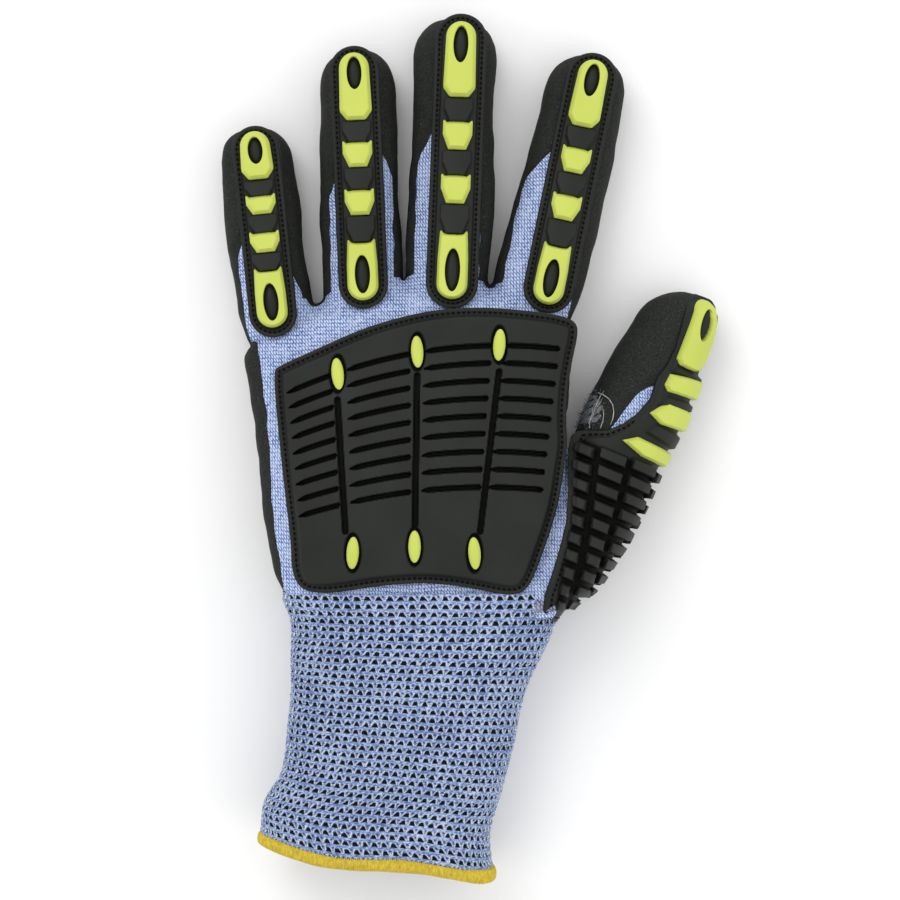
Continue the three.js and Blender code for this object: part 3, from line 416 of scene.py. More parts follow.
def rubberMaterial(name, base, deep, roughness, specular):      # satin moulded rubber, with painted shade and dimmed sheen in its cavities
    s = Shader(name)
    place = s.place()
    cloud = s.noise(place, 55, 3)
    fine = s.noise(place, 1500, 2)
    dust = s.window(s.noise(place, 420, 4, 0.7), 0.66, 0.8)
    colour = s.mixed(s.window(cloud, 0.25, 0.75), deep, base)
    pale = toned(base, 1.5, 0.012)
    shadow = toned(deep, 0.12)
    # painted shade: the cavity attribute mixes the colour towards a near-black shadow and dims the sheen where shade
    # falls
    cavityShade = s.node("ShaderNodeAttribute", attribute_name="cavityShade").outputs["Fac"]
    face = s.mixed(s.times(dust, 0.25), colour, pale)
    s.finish("Base Color", s.mixed(cavityShade, face, shadow))
    s.finish("Roughness", s.plus(roughness - 0.05, s.times(cloud, 0.14)))
    s.finish("Specular IOR Level", s.times(specular, s.minus(1.0, s.times(cavityShade, 0.9))))
    s.finish("Normal", s.bump(fine, 0.00002, 0.5))
    return s.material


def threadMaterial(name, base, dark, scale):      # twisted thread
    s = Shader(name)
    place = s.place()
    strands = s.noise(s.scaled(place, (1.0, 0.35, 1.0)), scale, 3, 0.7)
    s.finish("Base Color", s.ramp(strands, [(0.3, dark), (0.62, base)]))
    s.finish("Roughness", 0.8)
    s.finish("Specular IOR Level", 0.08)
    s.finish("Normal", s.bump(strands, 0.0002, 0.6))
    return s.material


knitLook = knitMaterial("knit", shade(56, 84, 146), shade(192, 206, 236), 0.0009, 0.0012)
liningLook = knitMaterial("lining", shade(60, 72, 104), shade(150, 158, 176), 0.0012, 0.0014)
# the near-black hole colour is painted shade for the waffle's pits
cuffLook = cuffMaterial("cuff_waffle", {
    "barDark": shade(62, 82, 130), "bar": shade(118, 138, 182), "barLight": shade(184, 197, 226),
    "strand": shade(204, 211, 217), "hole": shade(9, 12, 20),
})
coatLook = grainMaterial("sandy_dip", shade(34, 36, 33), shade(120, 122, 118), 0.0005, 0.72, 0.00018)
blackLook = rubberMaterial("black_rubber", shade(35, 37, 34), shade(29, 31, 28), 0.52, 0.16)
greenLook = rubberMaterial("green_rubber", shade(186, 197, 86), shade(180, 191, 80), 0.5, 0.35)
stitchLook = threadMaterial("black_thread", shade(12, 12, 12), shade(4, 4, 4), 1800)
hemLook = threadMaterial("yellow_thread", shade(214, 192, 74), shade(172, 146, 42), 1500)
fuzzLook = threadMaterial("grey_fuzz", shade(128, 132, 136), shade(56, 58, 60), 1500)
looseLook = threadMaterial("white_thread", shade(200, 200, 196), shade(140, 142, 142), 1500)


# The hand: soft limbs joined into one skin

limbs = {
    "little": {
        "root": (-42.5, 92.4), "lean": -7.6, "length": 54.0, "width": 22.0, "height": 19.0, "tipShift": -0.5,
        "along": (-0.21, 0.0, 0.3, 0.55, 0.79), "left": (0.46, 0.55, 0.55, 0.55, 0.51),
        "right": (0.48, 0.45, 0.42, 0.46, 0.44), "high": (1.06, 1, 0.92, 0.86, 0.8),
    },
    "ring": {
        "root": (-15.9, 97.1), "lean": -1.2, "length": 73.5, "width": 23.4, "height": 21.0, "tipShift": 0.0,
        "along": (-0.17, 0.0, 0.3, 0.55, 0.83), "left": (0.49, 0.49, 0.52, 0.485, 0.485),
        "right": (0.5, 0.5, 0.48, 0.455, 0.46), "high": (1.06, 1, 0.9, 0.83, 0.75),
    },
    "middle": {
        "root": (10.5, 98.6), "lean": 1.7, "length": 82.2, "width": 24.6, "height": 22.0, "tipShift": 0.0,
        "along": (-0.17, 0.0, 0.3, 0.57, 0.84), "left": (0.49, 0.49, 0.505, 0.45, 0.47),
        "right": (0.48, 0.47, 0.53, 0.5, 0.49), "high": (1.06, 1, 0.9, 0.82, 0.74),
    },
    "index": {
        "root": (39.6, 97.1), "lean": 11.7, "length": 73.4, "width": 25.0, "height": 22.0, "tipShift": 1.6,
        "along": (-0.19, 0.0, 0.3, 0.57, 0.81), "left": (0.5, 0.55, 0.505, 0.43, 0.42),
        "right": (0.36, 0.475, 0.53, 0.545, 0.515), "high": (1.06, 1, 0.9, 0.82, 0.74),
    },
    "thumb": {
        "root": (57.3, 28.9), "lean": 22.8, "length": 72.0, "width": 26.0, "height": 23.0, "tipShift": 4.5,
        "along": (-0.56, -0.25, 0.0, 0.22, 0.42, 0.62, 0.79), "left": (0.5, 0.54, 0.54, 0.55, 0.55, 0.51, 0.42),
        "right": (0.06, 0.28, 0.385, 0.41, 0.45, 0.43, 0.4), "high": (1.58, 1.45, 1.28, 1.12, 1, 0.9, 0.82),
    },
}
palmRows = {
    "along": (-0.08, 0.0, 0.14, 0.36, 0.575, 0.78, 0.92, 0.985, 1.02),
    "left": (0.405, 0.411, 0.45, 0.478, 0.501, 0.522, 0.54, 0.51, 0.47),
    "right": (0.47, 0.48, 0.495, 0.512, 0.486, 0.5, 0.49, 0.43, 0.38),
    "high": (1, 1, 0.97, 0.94, 0.87, 0.77, 0.67, 0.5, 0.3),
}


def rowAt(rows, share):
    return (float(pchip(rows["along"], rows[k], share)) for k in ("left", "right", "high"))


def limbAxes(limb):
    lean = math.radians(limb["lean"])
    along = np.array([math.sin(lean), math.cos(lean), 0.0])
    across = np.array([along[1], -along[0], 0.0])
    return along, across, np.array([limb["root"][0], limb["root"][1], 0.0])


def ringPoints(centre, across, left, right, low, high, flat, power, sides):
    angle = 2 * np.pi * (np.arange(sides) + 0.5) / sides
    c, s = np.cos(angle), np.sin(angle)
    half = (high - low) / 2
    reach = np.where(c < 0, left, right) * np.sign(c) * np.abs(c) ** (2 / power)
    rise = low + half + half * np.sign(s) * np.abs(s) ** (2 / power)
    points = centre[None, :] + reach[:, None] * across[None, :]
    points[:, 2] = np.maximum(rise, flat)
    return points


def loftFaces(rows, sides, offset):
    faces = []
    for r in range(rows - 1):
        for i in range(sides):
            a, b = r * sides + i, r * sides + (i + 1) % sides
            faces.append((offset + a, offset + a + sides, offset + b + sides, offset + b))
    faces.append(tuple(offset + i for i in range(sides)))
    faces.append(tuple(offset + (rows - 1) * sides + i for i in reversed(range(sides))))
    return faces


def limbRings(limb, inset):
    along, across, root = limbAxes(limb)
    base = skin["base"] + skin["lift"]
    rings = []
    last = limb["along"][-1]
    shares = np.append(np.arange(limb["along"][0], last, 0.03), last)
    for share in shares:
        left, right, high = rowAt(limb, share)
        centre = root + along * share * limb["length"]
        rings.append(ringPoints(
            centre, across, left * limb["width"] - inset, right * limb["width"] - inset,
            base + inset - skin["sag"], base + high * limb["height"] - inset, base + inset,
            skin["power"], skin["limbSides"],
        ))
    left, right, high = (limb[k][-1] for k in ("left", "right", "high"))
    cap = (1 - last) * limb["length"] - inset
    for angle in np.linspace(0.1, 1.5, 12):
        step = math.sin(angle)
        shrink = (1 - step ** skin["capPower"]) ** (1 / skin["capPower"])
        full = high * limb["height"] - 2 * inset
        rise = full * (1 - shrink) * skin["tipRise"]
        centre = root + along * (last * limb["length"] + cap * step) + across * limb["tipShift"] * step**2
        rings.append(ringPoints(
            centre, across, (left * limb["width"] - inset) * shrink, (right * limb["width"] - inset) * shrink,
            base + inset - skin["sag"] + rise, base + inset + full * shrink + rise, base + inset + rise,
            skin["power"], skin["limbSides"],
        ))
    return rings


def palmRings(inset):
    base = skin["base"]
    rings = []
    for share in np.linspace(palmRows["along"][0], palmRows["along"][-1], 44):
        left, right, high = rowAt(palmRows, share)
        centre = np.array([0.0, share * palm["length"], 0.0])
        points = ringPoints(
            centre, np.array([1.0, 0, 0]), left * palm["width"] - inset, right * palm["width"] - inset,
            base + inset - skin["sag"], base + high * palm["high"] - inset, base + inset,
            palm["power"], skin["palmSides"],
        )
        arch = ((points[:, 0] / palm["width"] - palm["archCentre"]) / palm["archSpan"]) ** 2
        points[:, 1] -= palm["arch"] * max(0.0, share) ** 3 * arch
        rings.append(points)
    return rings


def handSkin(inset, voxel, smoothing):      # all lofts melted into one closed skin
    points, faces = [], []
    for rings in [palmRings(inset)] + [limbRings(limb, inset) for limb in limbs.values()]:
        offset = sum(len(p) for p in points)
        faces += loftFaces(len(rings), len(rings[0]), offset)
        points += rings
    mesh = bpy.data.meshes.new("hand_lofts")
    mesh.from_pydata(np.vstack(points).tolist(), [], faces)
    mesh.update()
    work = bpy.data.objects.new("hand_lofts", mesh)
    bpy.context.scene.collection.objects.link(work)
    remesh = work.modifiers.new("melt", "REMESH")
    remesh.mode = "VOXEL"
    remesh.voxel_size = voxel
    soften = work.modifiers.new("soften", "SMOOTH")
    soften.factor = 0.5
    soften.iterations = smoothing
    evaluated = work.evaluated_get(bpy.context.evaluated_depsgraph_get())
    result = evaluated.to_mesh()
    co = np.zeros(len(result.vertices) * 3)
    result.vertices.foreach_get("co", co)
    quads = np.array([tuple(p.vertices) for p in result.polygons if len(p.vertices) == 4])
    evaluated.to_mesh_clear()
    bpy.data.objects.remove(work)
    bpy.data.meshes.remove(mesh)
    return co.reshape(-1, 3), quads


print("skin")
skinPoints, skinQuads = handSkin(0.0, skin["voxel"], 8)
skinTriangles = splitQuads(skinQuads)
skinNormals = vertexNormals(skinPoints, skinTriangles)
if (skinNormals * (skinPoints - skinPoints.mean(axis=0))).sum() < 0:
    skinQuads, skinTriangles, skinNormals = skinQuads[:, ::-1], skinTriangles[:, ::-1], -skinNormals
waves = 0.35 * softNoise(*skinPoints.T, 26, 3) + 0.12 * softNoise(*skinPoints.T, 9, 4)
lying = smoothStep(2.5, 8, skinPoints[:, 2])
tuck = smoothStep(3.5, -1.5, skinPoints[:, 1]) * 2.2      # the wrist end slips under the cuff
skinPoints = skinPoints + skinNormals * (waves * lying - tuck)[:, None]


# The dip's border: where the knit is bare

backWindow = chaikin([
    (-42.2, -19), (-38.9, 2.5), (-42.9, 24.2), (-43.8, 49), (-46.6, 70.7), (-50, 86.2), (-48, 92.6), (-37, 93.6),
    (-30.5, 92.6), (-21, 96.5), (-10, 98.5), (-2.6, 100), (10, 100), (23.8, 98), (36, 96.5), (45.6, 92.6),
    (45.1, 80), (43.7, 61.4), (49.9, 49), (57.9, 50.9), (73, 44.6), (57.9, 13.6), (48, -0.6), (48, -19),
], 1)
tongues = {
    "little": {"left": 0.44, "right": 0.2, "half": 4.7, "inset": 1.8},
    "ring": {"left": 0.55, "right": 0.63, "half": 4.7, "inset": 1.8},
    "middle": {"left": 0.6, "right": 0.5, "half": 4.7, "inset": 1.8},
    "index": {"left": 0.58, "right": 0.3, "half": 4.7, "inset": 1.8},
}
thumbTongue = chaikin([
    (57.9, 50.2), (59.7, 51.5), (64.7, 57.7), (67.5, 61.1), (70.6, 64.2), (74.6, 66.4), (85.8, 61.4), (85.8, 49),
    (70.3, 30.4), (57.9, 30.4),
], 1)


def bareField(points):      # distance to the dip's border, above zero on bare knit
    x, y, z = points.T
    field = np.minimum(polygonDistance(x, y, backWindow), z - 13.7)
    for name, tongue in tongues.items():
        limb = limbs[name]
        along, across, root = limbAxes(limb)
        left = -limb["left"][1] * limb["width"] + tongue["inset"]
        right = limb["right"][1] * limb["width"] - tongue["inset"]
        corners = [
            (left, -0.22), (right, -0.22), (right, tongue["right"] - 0.17), (tongue["half"], tongue["right"]),
            (-tongue["half"], tongue["left"]), (left, tongue["left"] - 0.17),
        ]
        polygon = [(root + across * u + along * v * limb["length"])[:2] for u, v in corners]
        high = z - (skin["base"] + 0.55 * limb["height"])
        field = np.maximum(field, np.minimum(polygonDistance(x, y, polygon), high))
    thumbHigh = z - (skin["base"] + 0.55 * limbs["thumb"]["height"])
    field = np.maximum(field, np.minimum(polygonDistance(x, y, thumbTongue), thumbHigh))
    return field + 0.25 * softNoise(x, y, z, 7, 5)


print("knit")
openWrist = skinPoints[:, 1] > -5.5
knitQuads = skinQuads[openWrist[skinQuads].all(axis=1)]
knitNodes = ["knit_palm"] + ["knit_" + name for name in limbs]
makeObject("knit_liner", skinPoints, knitQuads, knitLook, nodes=knitNodes)
innerPoints, innerQuads = handSkin(skin["wall"], skin["liningVoxel"], 4)
innerQuads = innerQuads[(innerPoints[:, 1] > -4)[innerQuads].all(axis=1)]
innerTriangles = splitQuads(innerQuads)
innerNormals = vertexNormals(innerPoints, innerTriangles)
if (innerNormals * (innerPoints - innerPoints.mean(axis=0))).sum() > 0:
    innerQuads = innerQuads[:, ::-1]
makeObject("knit_lining", innerPoints, innerQuads, liningLook)

print("coat")
dip = {"thin": 0.12, "thick": 1.0, "fade": 2.6, "under": 0.25}
skinField = bareField(skinPoints)
skinSheet = np.hstack([skinPoints, skinNormals])
coatBase, coatTriangles, coatDepth = clipMesh(skinSheet, skinTriangles, skinField, keepAbove=False)
openEnd = coatBase[:, 1] > -1.5
coatTriangles = coatTriangles[openEnd[coatTriangles].all(axis=1)]
coatNormals = coatBase[:, 3:] / np.maximum(np.linalg.norm(coatBase[:, 3:], axis=1, keepdims=True), 1e-9)
coatBase = coatBase[:, :3]
thickness = dip["thin"] + (dip["thick"] - dip["thin"]) * smoothStep(0, dip["fade"], coatDepth)
thickness += 0.07 * softNoise(*coatBase.T, 5, 9) * smoothStep(0, 1.5, coatDepth)
coatTop = coatBase + coatNormals * thickness[:, None]
coatTop[:, 2] = np.maximum(coatTop[:, 2], 0.0)
coatUnder = coatBase - coatNormals * dip["under"]
edge = borderEdges(coatTriangles)
count = len(coatTop)
walls = [(int(a), int(a) + count, int(b) + count, int(b)) for a, b in edge]
coatFaces = [tuple(t) for t in coatTriangles] + walls
coatNodes = ["coat_palm"] + ["coat_" + name for name in limbs]
makeObject("dipped_coat", np.vstack([coatTop, coatUnder]), coatFaces, coatLook, nodes=coatNodes)


# The cuff and its hem

cuffRows = {
    "along": (0.0, 0.14, 0.32, 0.5, 0.68, 0.86, 1.0), "left": (0.547, 0.517, 0.517, 0.538, 0.56, 0.645, 0.655),
    "right": (0.655, 0.58, 0.479, 0.436, 0.38, 0.33, 0.345), "high": (0.93, 0.95, 0.96, 0.97, 0.98, 1, 1.03),
}
cuff = {
    "width": 71.6, "length": 81.8, "depth": 41.0, "slope": 0.139, "lift": 0.6, "wall": 2.0,
    "rows": 34, "columns": 65, "lean": 0.13,
}


def cuffRing(share, grow, count):      # evenly spaced, seam underneath
    left, right, high = rowAt(cuffRows, np.clip(share, 0, 1))
    centre = np.array([0.0, -share * cuff["length"], 0.0])
    fine = 480
    points = ringPoints(
        centre, np.array([1.0, 0, 0]), left * cuff["width"] + grow, right * cuff["width"] + grow,
        cuff["lift"] - grow - skin["sag"], cuff["lift"] + high * cuff["depth"] + grow, cuff["lift"] - grow,
        skin["power"], fine,
    )
    x = points[:, 0]
    points[:, 1] += -cuff["slope"] * share * x + 1.1 * max(0.0, share) ** 3 * np.cos(2 * np.pi * (x - 2) / 55)
    points = np.roll(points, fine // 4, axis=0)
    closed = np.vstack([points, points[:1]])
    reach = np.concatenate([[0], np.cumsum(np.linalg.norm(np.diff(closed, axis=0), axis=1))])
    at = np.linspace(0, reach[-1], count)
    return np.stack([np.interp(at, reach, closed[:, k]) for k in range(3)], axis=1)


def tubeSurface(rings):      # points and outward normals
    grid = np.stack(rings)
    around = np.gradient(grid, axis=1)
    around[:, 0] = around[:, -1] = 0.5 * (grid[:, 1] - grid[:, -2])
    down = np.gradient(grid, axis=0)
    normal = np.cross(around, down)
    normal /= np.maximum(np.linalg.norm(normal, axis=2, keepdims=True), 1e-9)
    middle = grid.mean(axis=1, keepdims=True)
    if (normal * (grid - middle)).sum() < 0:
        normal = -normal
    return grid, normal


def waffle(u, v):      # a pit in each cell, strands round it
    x, y = u % 1.0, v % 1.0
    off = np.abs(x - 0.5)
    away = off - 0.42 + 0.38 * y
    pit = smoothStep(0.05, -0.08, away) * smoothStep(0.08, 0.25, y) * smoothStep(0.76, 0.6, y)
    strand = smoothStep(-0.04, 0.06, away) * smoothStep(0.22, 0.1, away)
    bar = smoothStep(0.2, 0.02, y) + smoothStep(0.8, 0.95, y)
    return 0.3 * strand + 0.12 * bar - 0.4 * pit


print("cuff")
hemStart = 1 - 3.0 / cuff["length"]
aroundCount, downCount = cuff["columns"] * 6 + 1, cuff["rows"] * 5 + 1
shares = np.linspace(-0.03, hemStart, downCount)
rings = [cuffRing(share, 0.9 * (1 - smoothStep(0.0, 0.08, share)) + 0.1, aroundCount) for share in shares]
grid, normal = tubeSurface(rings)
u = np.broadcast_to(np.linspace(0, cuff["columns"], aroundCount)[None, :], grid.shape[:2])
v = np.broadcast_to(-np.linspace(0, cuff["rows"] - 0.5, downCount)[:, None], grid.shape[:2])
lean = u - cuff["lean"] * v
fold = 0.45 * softNoise(grid[..., 0], grid[..., 1], grid[..., 2], 34, 12)
relief = waffle(lean, v) + fold * smoothStep(3, 12, grid[..., 2])
relief[:, -1] = relief[:, 0]
outer = grid + normal * relief[..., None]
outer[..., 2] = np.maximum(outer[..., 2], 0.15)
cuffUv = np.stack([lean, v], axis=-1).reshape(-1, 2) + 40
cuffFaces = gridQuads(downCount, aroundCount)
check = vertexNormals(outer.reshape(-1, 3), splitQuads(cuffFaces))
if (check * normal.reshape(-1, 3)).sum() < 0:
    cuffFaces = cuffFaces[:, ::-1]
makeObject("cuff_knit", outer.reshape(-1, 3), cuffFaces, cuffLook, uv=cuffUv, nodes=["knit_cuff"])
innerAround, innerDown = 181, 60
innerShares = np.linspace(-0.02, 1.0, innerDown)
inside, insideNormal = tubeSurface([cuffRing(share, -cuff["wall"], innerAround) for share in innerShares])
iu = np.broadcast_to(np.linspace(0, cuff["columns"], innerAround)[None, :], inside.shape[:2])
iv = np.broadcast_to(-np.linspace(0, cuff["rows"], innerDown)[:, None], inside.shape[:2])
insideFaces = gridQuads(innerDown, innerAround)
check = vertexNormals(inside.reshape(-1, 3), splitQuads(insideFaces))
if (check * insideNormal.reshape(-1, 3)).sum() > 0:
    insideFaces = insideFaces[:, ::-1]
makeObject(
    "cuff_lining", inside.reshape(-1, 3), insideFaces, cuffLook,
    uv=np.stack([iu - cuff["lean"] * iv, iv], axis=-1).reshape(-1, 2) + 40,
)

print("hem")
hem = {"threads": 300, "proud": 0.7, "length": 3.3, "twist": 0.2}
hemAround, hemProfile = hem["threads"] * 4 + 1, 16
hemShares = (hemStart - 0.02, hemStart, 1.0)
outerRing, outerNormal = tubeSurface([cuffRing(share, 0.2, hemAround) for share in hemShares])
innerRing = cuffRing(1.0, -cuff["wall"], hemAround)
startLine, endLine, side = outerRing[1], outerRing[2], outerNormal[2]
inward = innerRing - endLine
turns = np.linspace(0, 2 * np.pi, hemProfile, endpoint=False)
centreLine = 0.5 * (startLine + endLine) + 0.5 * inward
downward = endLine - startLine
downward /= np.linalg.norm(downward, axis=1, keepdims=True)
wrap = np.sin(2 * np.pi * np.arange(hemAround) * hem["threads"] / (hemAround - 1))
loose = 0.18 * softNoise(np.arange(hemAround) * 1.0, np.zeros(hemAround), np.zeros(hemAround), 70, 21)
hemGrid = []
for turn in turns:
    c, s = math.cos(turn), math.sin(turn)
    swell = np.linalg.norm(inward, axis=1) / 2 + hem["proud"] + hem["twist"] * wrap
    drop = hem["length"] / 2 + 0.25 + hem["twist"] * wrap + loose
    outward = swell[:, None] * side * np.sign(c) * abs(c) ** 0.8
    downShift = drop[:, None] * downward * np.sign(s) * abs(s) ** 0.8
    hemGrid.append(centreLine + outward + downShift)
hemGrid.append(hemGrid[0])
hemGrid = np.stack(hemGrid)
hemGrid[..., 2] = np.maximum(hemGrid[..., 2], 0.0)
hemFaces = gridQuads(hemProfile + 1, hemAround)
check = vertexNormals(hemGrid.reshape(-1, 3), splitQuads(hemFaces))
outFrom = (hemGrid - centreLine[None]).reshape(-1, 3)
if (check * outFrom).sum() < 0:
    hemFaces = hemFaces[:, ::-1]
makeObject("hem_overlock", hemGrid.reshape(-1, 3), hemFaces, hemLook, nodes=["cuff_hem"])


# Drapes carry flat patterns onto the glove

print("drapes")
dressedPoints = skinPoints + skinNormals * 0.6
seeker = BVHTree.FromPolygons(dressedPoints.tolist(), skinTriangles.tolist())


def spline(grid, x, y):      # x and y counted in cells
    rows, columns = grid.shape
    x, y = np.clip(x, 0, columns - 1.001), np.clip(y, 0, rows - 1.001)
    c, r = np.floor(x).astype(int), np.floor(y).astype(int)
    u, v = x - c, y - r

    def weights(t):
        second, third = (3 * t**3 - 6 * t**2 + 4) / 6, (-3 * t**3 + 3 * t**2 + 3 * t + 1) / 6
        return [(1 - t) ** 3 / 6, second, third, t**3 / 6]

    total = np.zeros(np.shape(x))
    for j, wy in enumerate(weights(v)):
        for i, wx in enumerate(weights(u)):
            total += wx * wy * grid[np.clip(r + j - 1, 0, rows - 1), np.clip(c + i - 1, 0, columns - 1)]
    return total


def fillHoles(grid):      # empty places take their neighbours' mean
    for _ in range(60):
        empty = np.isnan(grid)
        if not empty.any():
            break
        padded = np.pad(grid, 1, mode="edge")
        near = np.stack([padded[:-2, 1:-1], padded[2:, 1:-1], padded[1:-1, :-2], padded[1:-1, 2:]])
        known = ~np.isnan(near)
        mean = np.where(known.any(axis=0), np.nansum(near, axis=0) / np.maximum(known.sum(axis=0), 1), np.nan)
        grid = np.where(empty, mean, grid)
    return grid


def soften(grid, times):
    for _ in range(times):
        padded = np.pad(grid, 1, mode="edge")
        grid = 0.4 * grid + 0.15 * (padded[:-2, 1:-1] + padded[2:, 1:-1] + padded[1:-1, :-2] + padded[1:-1, 2:])
    return grid


class FlatDrape:      # straight down, y along the direction
    def __init__(self, origin, direction, low, high, cell=1.6, drop=6.0, passes=6):
        self.origin = np.array([origin[0], origin[1], 0.0])
        self.along = np.array([direction[0], direction[1], 0.0]) / math.hypot(*direction)
        self.across = np.array([self.along[1], -self.along[0], 0.0])
        self.low, self.cell = np.array(low, float), cell
        columns, rows = int((high[0] - low[0]) / cell) + 2, int((high[1] - low[1]) / cell) + 2
        grid = np.full((rows, columns), np.nan)
        for r in range(rows):
            for c in range(columns):
                x, y = low[0] + c * cell, low[1] + r * cell
                start = self.origin + self.across * x + self.along * y
                hit = seeker.ray_cast(Vector((start[0], start[1], 90.0)), Vector((0, 0, -1)))[0]
                if hit is not None:
                    grid[r, c] = hit.z
        floor = np.nanmax(grid) - drop
        grid = np.where(grid < floor, np.nan, grid)
        self.grid = soften(fillHoles(grid), passes)

    def carry(self, x, y, z):
        height = spline(self.grid, (x - self.low[0]) / self.cell, (y - self.low[1]) / self.cell)
        points = self.origin + x[:, None] * self.across + y[:, None] * self.along
        points[:, 2] = height + z
        return points


class RoundDrape:      # round the thumb, x is the arc at a fixed radius
    def __init__(self, limb, low, high, radius=15.0, cell=1.6, passes=4):
        self.along, self.across, root = limbAxes(limb)
        self.root = root + np.array([0, 0, 0.42 * limb["height"] + skin["base"]])
        self.low, self.cell, self.radius = np.array(low, float), cell, radius
        columns, rows = int((high[0] - low[0]) / cell) + 2, int((high[1] - low[1]) / cell) + 2
        grid = np.full((rows, columns), np.nan)
        for r in range(rows):
            for c in range(columns):
                outward = self.outward(np.array([low[0] + c * cell]))[0]
                centre = self.root + self.along * (low[1] + r * cell)
                start = centre + outward * 70
                hit = seeker.ray_cast(Vector(start), Vector(-outward), 70.0)[0]
                if hit is not None:
                    grid[r, c] = (np.array(hit) - centre) @ outward
        self.grid = soften(fillHoles(grid), passes)
        places = low[0] + cell * np.arange(columns)
        reach = self.grid + 1.5
        self.unfold = reach * np.cos(places / radius)
        for r in range(rows):
            peak = int(np.argmax(self.unfold[r]))
            turned = (places[peak] - places[:peak]) / radius
            self.unfold[r, :peak] = self.unfold[r, peak] + turned * reach[r, peak]

    def unfolded(self, x, y):      # how far right, carried on round the side
        return spline(self.unfold, (x - self.low[0]) / self.cell, (y - self.low[1]) / self.cell)

    def fromAbove(self, traced, level=1.5):      # drape places of points seen from above
        found = []
        xs = np.linspace(self.low[0], self.low[0] + self.cell * (self.unfold.shape[1] - 1), 300)
        for px, py in traced:
            d = np.array([px, py, 0.0]) - self.root * np.array([1, 1, 0])
            right, far = float(d @ self.across), float(d @ self.along)
            raised = self.unfolded(xs, np.full(len(xs), far)) + (level - 1.5) * np.cos(xs / self.radius)
            values = np.maximum.accumulate(raised[::-1])
            found.append((float(np.interp(right, values, xs[::-1])), far))
        return np.array(found)

    def outward(self, x):
        angle = x / self.radius
        return np.cos(angle)[:, None] * self.across + np.sin(angle)[:, None] * np.array([0, 0, 1.0])

    def carry(self, x, y, z):
        reach = spline(self.grid, (x - self.low[0]) / self.cell, (y - self.low[1]) / self.cell)
        return self.root + self.along * y[:, None] + self.outward(x) * (reach + z)[:, None]


def reliefPiece(name, drape, distance, height, box, pitch, low, material, nodes=(), sharp=42, cavityShade=None):
    (x0, y0), (x1, y1) = box
    columns, rows = int(math.ceil((x1 - x0) / pitch)) + 1, int(math.ceil((y1 - y0) / pitch)) + 1
    gx, gy = np.meshgrid(x0 + pitch * np.arange(columns), y0 + pitch * np.arange(rows))
    flat = np.stack([gx.ravel(), gy.ravel()], axis=1)
    triangles = splitQuads(gridQuads(rows, columns))
    points, triangles, depth = clipMesh(flat, triangles, distance(flat[:, 0], flat[:, 1]))
    x, y = points.T
    top = drape.carry(x, y, height(x, y, depth))
    edge = borderEdges(triangles)
    used = np.unique(edge)
    number = {int(old): len(top) + i for i, old in enumerate(used)}
    foot = drape.carry(x[used], y[used], np.full(len(used), low))
    faces = [tuple(t) for t in triangles]
    faces += [(int(a), number[int(a)], number[int(b)], int(b)) for a, b in edge]
    everything = np.vstack([top, foot])
    normals = vertexNormals(top, triangles)
    up = drape.carry(x, y, height(x, y, depth) + 1.0) - top
    if (normals * up).sum() < 0:
        faces = [face[::-1] for face in faces]
    piece = makeObject(name, everything, faces, material, sharp=sharp, nodes=nodes)
    # painted shade: the cavity values are stored per point for the rubber material
    if cavityShade is not None:
        layer = piece.data.attributes.new("cavityShade", "FLOAT", "POINT")
        dark = np.concatenate([cavityShade(x, y, depth), np.zeros(len(foot))])
        layer.data.foreach_set("value", dark.astype(np.float32))
    return piece


def capsules(name, starts, ends, radius, material, sides=6):      # many small stitches as one mesh
    starts, ends = np.asarray(starts), np.asarray(ends)
    axis = ends - starts
    length = np.maximum(np.linalg.norm(axis, axis=1, keepdims=True), 1e-9)
    axis = axis / length
    helper = np.where(np.abs(axis[:, 2:3]) < 0.9, np.array([[0, 0, 1.0]]), np.array([[1.0, 0, 0]]))
    first = np.cross(axis, helper)
    first /= np.linalg.norm(first, axis=1, keepdims=True)
    second = np.cross(axis, first)
    profile = [(0.0, 0.25), (0.12, 0.8), (0.35, 1.0), (0.65, 1.0), (0.88, 0.8), (1.0, 0.25)]
    points, faces = [], []
    for i in range(len(starts)):
        base = i * len(profile) * sides
        for share, swell in profile:
            centre = starts[i] + axis[i] * length[i] * share
            for k in range(sides):
                turn = 2 * math.pi * k / sides
                spoke = math.cos(turn) * first[i] + math.sin(turn) * second[i]
                points.append(centre + radius * swell * spoke)
        for r in range(len(profile) - 1):
            for k in range(sides):
                a, b = base + r * sides + k, base + r * sides + (k + 1) % sides
                faces.append((a, b, b + sides, a + sides))
        faces.append(tuple(base + k for k in reversed(range(sides))))
        faces.append(tuple(base + (len(profile) - 1) * sides + k for k in range(sides)))
    return makeObject(name, np.array(points), faces, material)


def stitchLine(drape, outline, inset, pitch, high, share=0.66):
    places, direction = outlinePath(outline, inset, pitch)
    half = 0.5 * share * pitch
    a, b = places - direction * half, places + direction * half
    level = np.full(len(places), high)
    return drape.carry(a[:, 0], a[:, 1], level), drape.carry(b[:, 0], b[:, 1], level)


stitchStarts, stitchEnds = [], []


# Finger strips

